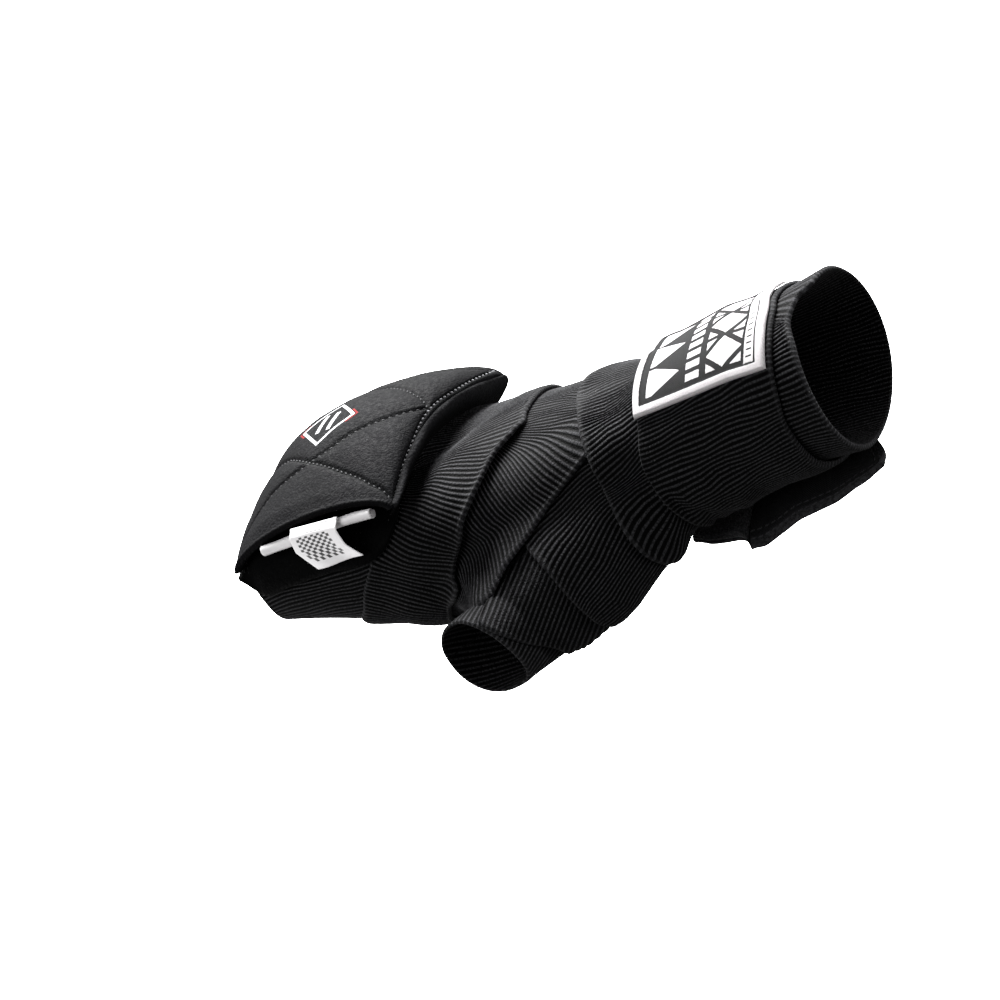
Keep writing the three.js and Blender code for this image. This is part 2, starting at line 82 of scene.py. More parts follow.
# Half sizes of each section towards the four sides, the rise of its middle, and how square it is.
sections = table(
    "x near far over under rise square",
    (-122, 41, 38, 12, 18, 11, 2.3),
    (-100, 41, 39, 13.5, 22.5, 9, 2.4),
    (-75, 40, 39, 14.5, 26.5, 4, 2.4),
    (-50, 36.5, 36, 14, 28, 1, 2.4),
    (-25, 32, 32, 13.5, 25, 0, 2.3),
    (0, 27.5, 28, 14.5, 24, 0, 2.2),
    (30, 26, 27, 17, 22, 1, 2.1),
    (60, 27, 28, 20, 23, 3, 2),
    (90, 29.5, 30, 24, 26, 5, 2),
)
# Balls joined by cones, under the thumb loop: x, y, z and radius.
thumbRoot = ((12, -14, -10.5, 14), (-9.5, -31, -20.5, 16.8), (-29.5, -47.5, -24.8, 13))
thumbBlend = 8


def smooth(t):
    s = np.clip(t, 0, 1)
    return s * s * (3 - 2 * s)


def mixed(a, b, t):
    return a + (b - a) * t


def window(value, first, rise, last, fall):  # 1 between first and last, with a soft start and end
    return smooth((value - first) / rise) * smooth((last - value) / fall)


def unit(v):
    return v / np.maximum(np.linalg.norm(v, axis=-1, keepdims=True), 1e-9)


# Two grids of values: one changes from row to row, the other from column to column.
def lattice(rows, cols, down=(0, 1), along=(0, 1)):
    return np.meshgrid(np.linspace(*down, rows), np.linspace(*along, cols), indexing="ij")


def roundLattice(rows, cols):  # angles round a ring, and shares of the way along it
    return np.meshgrid(np.arange(rows) * 360 / rows, np.linspace(0, 1, cols), indexing="ij")


def hermite(a, b, slopeA, slopeB, u, h):
    u2, u3 = u * u, u * u * u
    return ((2 * u3 - 3 * u2 + 1) * a + (u3 - 2 * u2 + u) * h * slopeA
            + (3 * u2 - 2 * u3) * b + (u3 - u2) * h * slopeB)


def column(rows, key, name, at):
    xs, vs = rows[key], rows[name]
    last = len(xs) - 1
    i = np.clip(np.searchsorted(xs, at, side="right") - 1, 0, last - 1)
    before, after = np.maximum(np.arange(last + 1) - 1, 0), np.minimum(np.arange(last + 1) + 1, last)
    slope = (vs[after] - vs[before]) / (xs[after] - xs[before])
    h = xs[i + 1] - xs[i]
    return hermite(vs[i], vs[i + 1], slope[i], slope[i + 1], np.clip((at - xs[i]) / h, 0, 1), h)


def roundColumn(rows, name, angle):
    angles, values = rows["angle"], rows[name]
    place = np.concatenate([angles[-1:] - 360, angles, angles[:2] + 360])
    value = np.concatenate([values[-1:], values, values[:2]])
    chord = np.diff(value) / np.diff(place)
    a, b = chord[:-1], chord[1:]
    slope = np.concatenate([[0], np.where(a * b > 0, 2 * a * b / np.where(a * b > 0, a + b, 1), 0), [0]])
    at = np.mod(angle, 360)
    i = np.searchsorted(place, at, side="right") - 1
    h = place[i + 1] - place[i]
    return hermite(value[i], value[i + 1], slope[i], slope[i + 1], (at - place[i]) / h, h)


# Height over the hollow: zero on it, growing outwards.
def heightAt(p):
    x, y = p[..., 0], p[..., 1]
    sec = {name: column(sections, "x", name, x) for name in sections if name != "x"}
    dz = p[..., 2] - sec["rise"]
    across = np.abs(y) / np.where(y < 0, sec["near"], sec["far"])
    up = np.abs(dz) / np.where(dz > 0, sec["over"], sec["under"])
    rho = np.maximum((across ** sec["square"] + up ** sec["square"]) ** (1 / sec["square"]), 1e-3)
    tube = np.hypot(y, dz) * (1 - 1 / rho)
    ball = np.full(x.shape, 1e9)
    for a, b in zip(thumbRoot[:-1], thumbRoot[1:]):
        start, run = np.array(a[:3]), np.array(b[:3]) - np.array(a[:3])
        t = np.clip((p - start) @ run / (run @ run), 0, 1)
        away = np.linalg.norm(p - start - t[..., None] * run, axis=-1)
        ball = np.minimum(ball, away - mixed(a[3], b[3], t))
    t = np.clip(0.5 + (ball - tube) / (2 * thumbBlend), 0, 1)
    return mixed(ball, tube, t) - thumbBlend * t * (1 - t)


def steepest(p, step=0.2):
    return unit(np.stack([heightAt(p + step * axis) - heightAt(p - step * axis) for axis in np.eye(3)], -1))


skin = {
    "first": -122, "step": 1.5, "count": 142,   # stations along the wrap
    "around": 270,
    "farOut": 80, "rounds": 70,                 # the net starts this far out and closes in on the hollow
    "tense": 70,                                # rounds of pulling straight beside the thumb loop
    "tenseAngle": (150, 25, 258, 20), "tenseX": (-78, 14, 14, 14),      # where: first, rise, last, fall
}


# A net of points over the hollow. Beside the thumb loop it spans the dip as stretched cloth does.
def makeSkin(s):
    xs = s["first"] + s["step"] * np.arange(s["count"])
    angles = np.arange(s["around"]) * 360 / s["around"]
    x, angle = np.meshgrid(xs, angles, indexing="ij")
    rise = column(sections, "x", "rise", x)
    out = np.stack([np.zeros_like(x), np.cos(np.radians(angle)), np.sin(np.radians(angle))], -1)
    middle = np.stack([x, np.zeros_like(x), rise], -1)
    r = np.full(x.shape, float(s["farOut"]))
    for _ in range(s["rounds"]):
        over = heightAt(middle + r[..., None] * out)
        r -= np.where(over < 1e-3, 0, 0.7 * over)
    net = middle + r[..., None] * out
    loose = window(angle, *s["tenseAngle"]) * window(x, *s["tenseX"])
    i, j = np.nonzero(loose > 0.01)
    pull = loose[i, j][:, None]
    for _ in range(s["tense"]):
        mean = (net[i - 1, j] + net[i + 1, j] + net[i, j - 1] + net[i, (j + 1) % s["around"]]) / 4
        p = net[i, j] + 0.8 * pull * (mean - net[i, j])
        p += np.maximum(-heightAt(p), 0)[:, None] * steepest(p)
        net[i, j] = p
    lengthwise = np.gradient(net, axis=0)
    around = np.roll(net, -1, 1) - np.roll(net, 1, 1)
    normal = unit(np.cross(around, lengthwise))
    facing = np.sign(np.median(np.einsum("ijk,ijk->ij", normal, out)))
    return net, normal * facing


net, netNormal = makeSkin(skin)


def curveWeights(t):  # weights of four neighbours for a smooth curve through points
    return [((2 - t) * t - 1) * t / 2, (t * t * (3 * t - 5) + 2) / 2,
            (t * (t * (4 - 3 * t) + 1)) / 2, (t - 1) * t * t / 2]


def onSkin(x, angle, height):
    u = np.clip((x - skin["first"]) / skin["step"], 1, skin["count"] - 2.001)
    v = np.mod(angle, 360) / 360 * skin["around"]
    i, j = np.floor(u).astype(int), np.floor(v).astype(int)
    place, normal = 0, 0
    for a, wa in enumerate(curveWeights(u - i)):
        for b, wb in enumerate(curveWeights(v - j)):
            w = (wa * wb)[..., None]
            at = (i + a - 1, (j + b - 1) % skin["around"])
            place = place + w * net[at]
            normal = normal + w * netNormal[at]
    return place + unit(normal) * np.asarray(height)[..., None]


print("hollow measured")


# Meshes

def makeObject(name, points, faces, facts=None):
    mesh = bpy.data.meshes.new(name)
    mesh.from_pydata((np.asarray(points, float) * mm).tolist(), [], faces)
    for key, values in (facts or {}).items():
        numbers = np.asarray(values, np.float32).ravel()
        mesh.attributes.new(key, "FLOAT", "POINT").data.foreach_set("value", numbers)
    mesh.polygons.foreach_set("use_smooth", [True] * len(mesh.polygons))
    mesh.update()
    made = bpy.data.objects.new(name, mesh)
    bpy.context.scene.collection.objects.link(made)
    return made


# Faces of four corners, turned round where they look into the solid.
def outward(points, faces):
    a, b, c, d = (points[faces[:, k]] for k in range(4))
    volume = (a * (np.cross(b, c) + np.cross(c, d))).sum()
    return faces if volume > 0 else faces[:, ::-1]


# Faces between two grids of points, top and bottom, with their rims.
def wallFaces(rows, cols, closed):
    i, j = np.meshgrid(np.arange(rows if closed else rows - 1), np.arange(cols - 1), indexing="ij")
    n = (i + 1) % rows
    top = np.stack([i * cols + j, n * cols + j, n * cols + j + 1, i * cols + j + 1], -1).reshape(-1, 4)
    under = rows * cols
    start, last = np.arange(rows if closed else rows - 1) * cols, cols - 1
    after = (start + cols) % under
    sides = [(start, after), (after + last, start + last)]
    if not closed:
        step, end = np.arange(cols - 1), under - cols
        sides += [(step + 1, step), (end + step, end + step + 1)]
    rims = [np.stack([near, near + under, far + under, far], -1) for near, far in sides]
    return np.concatenate([top, top[:, ::-1] + under, *rims])


def shellParts(top, bottom, facts, closed):
    points = np.concatenate([top.reshape(-1, 3), bottom.reshape(-1, 3)])
    twice = {key: np.concatenate([np.ravel(v)] * 2) for key, v in facts.items()}
    return points, outward(points, wallFaces(*top.shape[:2], closed)).tolist(), twice


def joined(parts):
    points, faces, facts = zip(*parts)
    starts = np.cumsum([0] + [len(p) for p in points[:-1]])
    allFaces = np.concatenate([np.array(f) + start for f, start in zip(faces, starts)]).tolist()
    allFacts = {key: np.concatenate([f[key] for f in facts]) for key in facts[0]}
    return np.concatenate(points), allFaces, allFacts


def shell(name, top, bottom, facts=None, closed=False):
    return makeObject(name, *shellParts(top, bottom, facts or {}, closed))


# Shader sockets as numbers

class Wire:
    def __init__(self, paint, socket):
        self.paint, self.socket = paint, socket

    def do(self, operation, *values):
        return self.paint.node("ShaderNodeMath", {"operation": operation}, dict(enumerate(values)))

    def __add__(self, other):
        return self.do("ADD", self, other)

    def __radd__(self, other):
        return self.do("ADD", other, self)

    def __sub__(self, other):
        return self.do("SUBTRACT", self, other)

    def __rsub__(self, other):
        return self.do("SUBTRACT", other, self)

    def __mul__(self, other):
        return self.do("MULTIPLY", self, other)

    def __rmul__(self, other):
        return self.do("MULTIPLY", other, self)

    def __truediv__(self, other):
        return self.do("DIVIDE", self, other)

    def __lt__(self, other):
        return self.do("LESS_THAN", self, other)

    def __gt__(self, other):
        return self.do("GREATER_THAN", self, other)

    def __abs__(self):
        return self.do("ABSOLUTE", self)

    def sine(self):
        return self.do("SINE", self)

    def cosine(self):
        return self.do("COSINE", self)

    def fraction(self):
        return self.do("FRACT", self)

    def least(self, other):
        return self.do("MINIMUM", self, other)

    def ramp(self, low, high):  # 0 below low, 1 above high, smooth between
        return self.paint.node("ShaderNodeMapRange", {"interpolation_type": "SMOOTHSTEP"},
                               {0: self, 1: low, 2: high, 3: 0, 4: 1})


class Paint:
    def __init__(self, name):
        self.material = bpy.data.materials.new(name)
        self.material.use_nodes = True
        self.tree = self.material.node_tree
        self.tree.nodes.clear()

    def node(self, kind, settings=None, values=None, out=0):
        made = self.tree.nodes.new(kind)
        for key, value in (settings or {}).items():
            setattr(made, key, value)
        for key, value in (values or {}).items():
            if isinstance(value, Wire):
                self.tree.links.new(value.socket, made.inputs[key])
            else:
                made.inputs[key].default_value = value
        return Wire(self, made.outputs[out]) if made.outputs else None

    def fact(self, name):  # a number kept with each point of the mesh
        return self.node("ShaderNodeAttribute", {"attribute_name": name}, out="Fac")

    def place(self):  # place in the frame, in millimetres
        at = self.node("ShaderNodeTexCoord", out="Object")
        return self.node("ShaderNodeVectorMath", {"operation": "SCALE"}, {0: at, "Scale": 1 / mm})

    def noise(self, scale, detail=2):  # scale is in waves per millimetre
        values = {"Vector": self.place(), "Scale": scale, "Detail": detail}
        return self.node("ShaderNodeTexNoise", None, values)

    def colours(self, factor, a, b):  # a where the factor is 0, b where it is 1
        a, b = ((*c, 1) if isinstance(c, tuple) else c for c in (a, b))
        return self.node("ShaderNodeMix", {"data_type": "RGBA"}, {0: factor, 6: a, 7: b}, out=2)

    def bump(self, height, depth):  # depth in millimetres for a height of 1
        return self.node("ShaderNodeBump", None, {"Height": height, "Distance": depth * mm, "Strength": 1})

    def finish(self, colour, rough, normal=None, sheen=0, sheenRough=0.5, specular=0.5):
        values = {"Base Color": colour, "Roughness": rough, "Specular IOR Level": specular,
                  "Sheen Weight": sheen, "Sheen Roughness": sheenRough}
        if normal:
            values["Normal"] = normal
        shader = self.node("ShaderNodeBsdfPrincipled", None, values)
        self.node("ShaderNodeOutputMaterial", None, {"Surface": shader})
        return self.material


def dress(piece, material, node):
    piece.data.materials.append(material)
    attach(piece, "root")
    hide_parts(node)


# The elastic band

band = {
    "thickness": 1.5,
    "turnGap": 1.75,             # from one turn's underside to the next one's
    "rampLength": 12, "rampShelf": 2.5, "rampTurn": 5,
    "ribPitch": 1.4, "ribDepth": 0.5, "ribRound": 0.7, "ribSamples": 5,
    "waviness": 0.18,
    "selvageGroove": (0.16, 1.25, 0.35),        # depth, steps in from the edge, and spread
    "width": 50,
    "cells": 8,
    "edge": (0, 0.25, 0.7, 1.3, 2.2, 3.6),      # steps in from each selvage
    "underHeight": 3,            # height over the hollow at which a turn's course is measured
    "leanSpread": 14,            # degrees over which the ribs' direction evens out
    "wander": 0.28,              # how far a rib strays from its straight line
    # slack on the underside; a place in brackets is first, rise, last, fall
    "loose": {"height": 2, "fromX": -38, "rise": 14, "angle": (186, 16, 315, 50)},
    # creases where the band is bunched
    "creases": {"height": 0.9, "pitch": 9.5, "x": (2, 12, 58, 16), "angle": (178, 26, 262, 24),
                "start": 200, "lean": 38, "sway": 0.9, "swayPerMm": 0.21},
    # colours of the painted shade in the rib grooves and the painted highlight on the rib crowns
    "grooveShadeColour": (0.0001, 0.0001, 0.00013), "litRidgeColour": (0.027, 0.027, 0.029),
}
turns = {
    "thumb_turn": table(
        "angle front rear",
        (0, -40, 6), (50, -38, 6), (90, -36, 6), (150, -43, 0), (170, -46, 2), (178, -47, 3), (184, -46, 4),
        (187, -42, 6), (191, -32, 8), (195, -21, 10), (200, -15, 12), (208, -13, 12), (215, -15, 12),
        (219, -20, 12), (223, -30, 11), (227, -39, 10), (232, -44, 8), (246, -48, 6), (270, -50, 4),
        (320, -46, 4)),
    "heel_turn": table(
        "angle front rear",
        (0, -42, 6), (50, -54, -6), (90, -58, -12), (120, -50, -4), (150, -40, 6), (170, -30, 16),
        (180, -23.5, 22), (187, -18.7, 28), (190.5, -16, 32), (193.5, -13.3, 34), (197, -10.8, 35.5),
        (203.5, -8.5, 37.5), (210.5, -7.5, 38), (221, -7.6, 38), (235, -10, 37), (270, -14, 34),
        (320, -28, 20)),
    "palm_turn_front": table(
        "angle front rear",
        (0, -108, -59), (90, -109.5, -61), (160, -111.5, -62), (180, -111, -62), (200, -111.5, -62),
        (270, -108, -58)),
    "cross_turn": table(
        "angle front rear",
        (0, -27, 23), (50, -27, 23), (90, -31, 20), (120, -34, 18), (144, -37, 15.5), (154, -40, 12.5),
        (164, -43, 7), (169.5, -45, 2), (175, -47.5, -3), (180, -50, -7), (184.5, -52, -10.7),
        (188.5, -53.5, -15.2), (191, -54.5, -19), (194, -56, -23.5), (198, -58, -28.6), (201, -59.5, -32.5),
        (204.5, -61, -39.5), (209, -61.5, -46.5), (215, -62, -49.5), (228, -63, -48), (245, -62, -36),
        (270, -56, -14), (320, -36, 12)),
    "palm_turn_back": table(
        "angle front rear",
        (0, -76, -28), (50, -73, -22.7), (90, -71, -20.5), (115, -67, -18.5), (130.5, -63, -19),
        (148.5, -60, -23.5), (161, -60, -27), (168.5, -63.5, -31.2), (174, -67, -35.6), (180, -70.5, -39),
        (188, -75.5, -41), (197, -80, -42), (201.5, -83, -45), (207, -84, -52), (214, -84.5, -57.5),
        (225, -85, -59), (240, -85, -56), (270, -84, -44), (320, -80, -34)),
    "wrist_turn_inner": table(
        "angle front rear",
        (0, 36, 84), (90, 37, 85), (104, 32, 81), (124, 32, 80), (147, 33, 82), (182, 35, 83.5),
        (228, 35, 83), (270, 34, 82)),
    "wrist_turn_outer": table(
        "angle front rear",
        (0, 0, 50), (60, -2.5, 48), (85, -2.2, 48.5), (112, 1.4, 52), (133, 4.5, 55), (151, 6.5, 57),
        (162, 8.3, 58.5), (175, 9.5, 60), (196, 9.6, 60), (208.5, 10.5, 60.5), (220, 11.3, 61),
        (270, 9.5, 60), (320, 5, 55)),
    "closure_band": table(
        "angle front rear",
        (0, 24, 74), (69, 21, 72), (90, 23, 73), (113, 25, 75), (133, 26, 75), (151, 26.5, 74.5),
        (169, 25.3, 73.8), (182, 24, 72.5), (200, 23.2, 72), (228, 23, 71), (270, 23, 72), (320, 24, 74)),
}
order = list(turns)
# Degrees by which the ribs lean off square where the band was pulled on the skew.
skew = {
    "heel_turn": table("angle lean", (0, 0), (110, 0), (155, 17), (190, 21), (215, 3), (240, -3), (275, 0)),
    "cross_turn": table("angle lean", (0, 0), (125, 0), (160, 17), (205, 20), (250, 0)),
    "wrist_turn_outer": table("angle lean", (0, 0), (120, 0), (165, -12), (215, -12), (265, 0)),
    "closure_band": table("angle lean", (0, 0), (110, 0), (155, -12), (215, -12), (265, 0)),
}


# 1 under a turn, falling to 0 beside it.
def cover(rows, x, angle):
    near = [angle - band["rampTurn"], angle, angle + band["rampTurn"]]
    front = np.minimum.reduce([roundColumn(rows, "front", a) for a in near])
    rear = np.maximum.reduce([roundColumn(rows, "rear", a) for a in near])
    ramp, shelf = band["rampLength"], band["rampShelf"]
    return smooth((x - front + shelf + ramp) / ramp) * smooth((rear - x + shelf + ramp) / ramp)


# Height over the hollow of the first few turns at a place.
def stack(count, x, angle):
    loose, c = band["loose"], band["creases"]
    total = loose["height"] * smooth((loose["fromX"] - x) / loose["rise"]) * window(angle, *loose["angle"])
    sway = c["sway"] * np.sin(x * c["swayPerMm"])
    fold = 0.5 + 0.5 * np.sin(2 * np.pi * (x / c["pitch"] + (angle - c["start"]) / c["lean"]) + sway)
    total = total + c["height"] * fold * window(x, *c["x"]) * window(angle, *c["angle"])
    for name in order[:count]:
        total = total + band["turnGap"] * cover(turns[name], x, angle)
    return total


# Mean of a list that closes on itself, over a spread of degrees.
def evened(values, spread):
    n = len(values)
    away = np.minimum(np.arange(n), n - np.arange(n)) * 360 / n
    weight = np.exp(-(away / spread) ** 2)
    return np.real(np.fft.ifft(np.fft.fft(values) * np.fft.fft(weight / weight.sum())))


# Places on a turn: some rows to each rib, running straight across the band.
def ribLines(name):
    rows = turns[name]
    fine = np.arange(720) / 2
    middle = (roundColumn(rows, "front", fine) + roundColumn(rows, "rear", fine)) / 2
    high = band["underHeight"]
    line = onSkin(middle, fine, high)
    steps = np.linalg.norm(np.roll(line, -1, 0) - line, axis=1)
    length = steps.sum()
    spread = band["leanSpread"]
    perDegree, perMm = (onSkin(middle + dx, fine + da, high) - onSkin(middle - dx, fine - da, high)
                        for dx, da in ((0, 0.5), (0.5, 0)))
    slope = evened(np.roll(middle, -1) - np.roll(middle, 1), spread)
    xx, xa, aa = (evened((p * q).sum(-1), spread) for p, q in
                  ((perMm, perMm), (perMm, perDegree), (perDegree, perDegree)))
    back = -(slope * xx + xa) / (slope * xa + aa)       # square to the middle line, on the curved skin
    alongX = 1 / np.sqrt(xx + 2 * back * xa + back * back * aa)
    lean = np.radians(roundColumn(skew[name], "lean", fine)) if name in skew else 0 * fine
    forward = np.sin(lean) / np.sqrt(slope * slope * xx + 2 * slope * xa + aa)
    acrossX, acrossAngle = alongX * np.cos(lean) + slope * forward, alongX * back * np.cos(lean) + forward
    count = round(length / band["ribPitch"]) * band["ribSamples"]
    walked = np.concatenate([[0], np.cumsum(steps)])
    at = np.interp(np.arange(count) / count * length, walked, np.append(fine, 360))
    xMid, stepX, stepAngle, degree = (np.interp(at, np.append(fine, 360), np.append(v, v[0]))
                                      for v in (middle, acrossX, acrossAngle, np.sqrt(aa)))

    def place(w):
        a = np.radians(at)
        wander = band["wander"] * (np.sin(w * 0.31 + 9 * a) + np.sin(w * 0.17 - 14 * a + 2))
        return xMid + w * stepX, at + w * stepAngle + wander / degree

    # the way from the middle line to each selvage, found by halving
    ends = []
    for end, side in (("front", -1), ("rear", 1)):
        near, far = np.zeros(count), np.full(count, 60.0)
        for _ in range(26):
            half = (near + far) / 2
            x, angle = place(side * half)
            inside = side * (roundColumn(rows, end, angle) - x) > 0
            near, far = np.where(inside, half, near), np.where(inside, far, half)
        ends.append(side * near)
    front, rear = ends
    steps = band["edge"]
    inner = np.linspace(0, 1, band["cells"] + 2)[1:-1]
    across = ([front + d for d in steps] + [mixed(front + steps[-1], rear - steps[-1], t) for t in inner]
              + [rear - d for d in steps[::-1]])
    x, angle = zip(*(place(w) for w in across))
    across = np.stack(across, 1)
    phase = np.arange(count) / band["ribSamples"]
    grid = {"x": np.stack(x, 1), "angle": np.stack(angle, 1), "across": across,
            "edge": np.minimum(across - front[:, None], rear[:, None] - across),
            "rib": np.repeat(phase[:, None], across.shape[1], 1)}
    return grid, length


# Slow waves that cloth keeps when it is pulled tight.
def waves(x, angle, seed):
    pick = np.random.default_rng(seed)
    total = 0
    for _ in range(5):
        fx, turnsRound, phase = pick.uniform(0.05, 0.22), pick.integers(2, 8), pick.uniform(0, 6.3)
        total = total + np.sin(fx * x + turnsRound * np.radians(angle) + phase)
    return total / 5


# How far a turn's selvage stands off the turn below it: edge, first and last angle, height, reach inwards.
curls = {
    "palm_turn_back": ("rear", 112, 204, 1.3, 4),
    "cross_turn": ("rear", 130, 200, 0.6, 3.5),
    "wrist_turn_outer": ("front", 95, 230, 0.5, 4),
    "closure_band": ("front", 90, 250, 0.4, 4),
}
curlRise = 18       # degrees over which a curl starts and ends


def curl(name, x, angle):
    if name not in curls:
        return 0
    side, first, last, height, reach = curls[name]
    inside = np.abs(x - roundColumn(turns[name], side, angle))
    return height * window(angle, first, curlRise, last, curlRise) * smooth(1 - inside / reach)


def ribHeight(phase):
    return np.abs(np.cos(np.pi * phase)) ** band["ribRound"]


# Thickness of ribbed cloth, by the steps in from its edge and the rib's height from 0 to 1.
def ribbedWall(full, edge, rib, depth, selvage=1.1, rim=0.4):
    return full * (rim + (1 - rim) * smooth(edge / 0.6)) - depth * smooth(edge - selvage) * (1 - rib)


def bandWall(name, grid, thin=1):
    x, angle, edge = grid["x"], grid["angle"], grid["edge"]
    number = order.index(name)
    base = stack(number, x, angle) + band["waviness"] * (1 + waves(x, angle, number)) + curl(name, x, angle)
    rib = ribHeight(grid["rib"]) ** 2
    deep, inwards, spread = band["selvageGroove"]
    groove = deep * np.exp(-((edge - inwards) / spread) ** 2)
    wall = ribbedWall(band["thickness"] * thin, edge, rib, band["ribDepth"], rim=0.45) - groove
    return onSkin(x, angle, base + wall), onSkin(x, angle, base)


def bandMaterial():
    p = Paint("ribbed_elastic")
    rib, across, edge = p.fact("rib"), p.fact("across"), p.fact("edge")
    ridge = 0.5 + 0.5 * (rib * (2 * math.pi)).cosine()
    drift = p.noise(0.6, 2)
    thread = ((across + drift * 2.5) * (2 * math.pi / 1.15)).sine() * 0.5 + 0.5
    fine = p.noise(1.9, 3).ramp(0.32, 0.68)
    wide = p.noise(0.035, 3)
    # Painted highlight along the selvages, where the rolled edge catches the light.
    selvage = 1 - edge.ramp(0.45, 1.0)
    # Painted light on the ribs: each crown is lighter as a painted highlight, each groove is near black as
    # painted shade.
    crown = ridge.ramp(0.42, 1.0)
    light = crown * (0.08 + thread * 0.3 + fine * 0.75 + wide * 0.2) + selvage * (0.08 + fine * 0.25)
    colour = p.colours(light, band["grooveShadeColour"], band["litRidgeColour"])
    lint = p.noise(0.62, 1).ramp(0.82, 0.835)
    colour = p.colours(lint, colour, (0.075, 0.075, 0.075))
    bump = p.bump(thread * crown * 0.5 + fine * 0.8, 0.16)
    return p.finish(colour, 0.68 + fine * 0.2, bump, sheen=0.013, sheenRough=0.3, specular=0.035)


elastic = bandMaterial()

# The first turn also runs out over the sewn loop, as a collar.
collar = {
    "root": (-28.8, -46.8, -25.2), "axis": (-0.356, -0.932, 0.072),
    "least": 12.75, "most": 27, "clearance": 0.5, "thickness": 1.15, "ribDepth": 0.38,
    "stepsRound": 150, "stepsAlong": 110,
    "clearTop": 12.9, "clearBottom": 12.5,      # radii that the turn's two sides leave free for the loop
    "clearReach": (-16, 30), "clearWay": (-0.98, -0.17),
    "flatLength": 55,                 # the part of the first turn that runs out here
    "ribs": (0.65, 0.12, -0.75),      # the ribs lie side by side along this line
    # the slack fold on its underside
    "bulge": 3.2, "bulgeAngle": 118, "bulgeSpread": 34, "bulgeFrom": -25, "bulgeRise": 9,
}
# Both ends of it along its axis, by the angle round it: 0 towards the pad, 90 down, 270 up.
collarEnds = table(
    "angle start end",
    (0, -6, 6), (45, -7, 2), (90, -10, -4), (113, -14, -8), (127, -18, -3), (142, -20, 0.5),
    (156, -22, 5), (173, -24, 10.3), (186, -24, 13.2), (199, -24, 15.6), (210, -24, 17.4), (227, -24, 18.6),
    (238, -20, 18.2), (248, -18, 14), (260, -16, 8), (280, -14, 5), (305, -9, 5), (335, -7, 5))


def loopFrame():
    axis = unit(np.array(collar["axis"]))
    side = unit(np.cross(axis, (0, 0, 1)))
    return np.array(collar["root"]), axis, side, np.cross(axis, side)


def roundLoop(s, angle, radius):
    root, axis, side, below = loopFrame()
    a = np.radians(angle)[..., None]
    return root + s[..., None] * axis + radius[..., None] * (np.cos(a) * side + np.sin(a) * below)


# Radius round the loop's axis at which the hollow ends.
def collarRadius(s, angle):
    first, most, step = 9, float(collar["most"]), 0.5
    found, before = np.full(s.shape, most), None
    for r in np.arange(first, most, step):
        over = heightAt(roundLoop(s, angle, np.full(s.shape, r))) - collar["clearance"]
        if before is None:
            found = np.where(over > 0, r, found)
        else:
            hit = (over > 0) & (found == most)
            found = np.where(hit, r - step * over / np.maximum(over - before, 1e-6), found)
        before = over
    return np.maximum(found, collar["least"])


def collarParts():
    angle, v = roundLattice(collar["stepsRound"], collar["stepsAlong"])
    end = roundColumn(collarEnds, "end", angle)
    s = mixed(roundColumn(collarEnds, "start", angle), end, v)
    radius = collarRadius(s, angle)
    for _ in range(6):
        radius = (radius * 2 + np.roll(radius, 1, 0) + np.roll(radius, -1, 0)) / 4
    edge = end - s
    away = (angle - collar["bulgeAngle"]) / collar["bulgeSpread"]
    rise = smooth((s - collar["bulgeFrom"]) / collar["bulgeRise"])
    slack = np.exp(-away ** 2) * rise * (0.55 + 0.45 * smooth(edge / 8))
    radius = radius + collar["bulge"] * slack
    line = unit(np.array(collar["ribs"]))
    phase = roundLoop(s, angle, radius) @ line / band["ribPitch"]
    wall = ribbedWall(collar["thickness"], edge, ribHeight(phase), collar["ribDepth"])
    top, bottom = roundLoop(s, angle, radius + wall), roundLoop(s, angle, radius)
    return shellParts(top, bottom, {"rib": phase, "across": s, "edge": edge}, True)


# Moves points that lie in the loop's opening to its rear side.
def clearLoop(points, radius):
    root, axis, side, below = loopFrame()
    s = (points - root) @ axis
    out = points - root - s[..., None] * axis
    bySide, byBelow = collar["clearWay"]
    away = bySide * side + byBelow * below
    first, last = collar["clearReach"]
    inside = (s > first) & (s < last) & ((out ** 2).sum(-1) < radius ** 2)
    step = out @ away
    move = np.sqrt(np.maximum(step ** 2 + radius ** 2 - (out ** 2).sum(-1), 0)) - step
    return points + np.where(inside, move, 0)[..., None] * away


def makeTurn(name):
    grid, length = ribLines(name)
    first = name == "thumb_turn"
    top, bottom = bandWall(name, grid, thin=0.5 if first else 1)
    if first:
        top, bottom = clearLoop(top, collar["clearTop"]), clearLoop(bottom, collar["clearBottom"])
        length += collar["flatLength"]
    parts = [shellParts(top, bottom, {key: grid[key] for key in ("rib", "across", "edge")}, True)]
    if first:
        parts.append(collarParts())
    piece = makeObject(name + "_cloth", *joined(parts))
    dress(piece, elastic, name)
    [other + "_cloth" for other in order[:order.index(name)]][-1:]


for name in order:
    makeTurn(name)
    print("band:", name)

# The sewn loop

loop = {
    "start": -9, "wall": 1.0, "ribDepth": 0.35, "selvage": 1.3, "stepsRound": 170, "stepsAlong": 60,
    "ribs": 43, "lean": 0.25,           # ribs round it, and how many more each millimetre outwards adds
}
# Its rim, and its radius at the root and at the rim, by the angle round its axis.
loopRim = table(
    "angle end root rim",
    (0, 20, 12.4, 13.8), (45, 18.5, 13.2, 14.2), (85, 15.5, 15, 14.6), (113, 11.5, 15.4, 14.7),
    (130, 12, 14.3, 14), (147, 13.3, 13, 13.3), (174, 15.6, 12.2, 12.9), (192, 17, 12.1, 12.7),
    (210, 18, 12.1, 12.6), (229, 19, 12.1, 12.5), (249, 19.4, 12.1, 12.5), (277, 19.6, 12, 12.7),
    (310, 20.5, 12, 13.2), (340, 20.6, 12.1, 13.6))


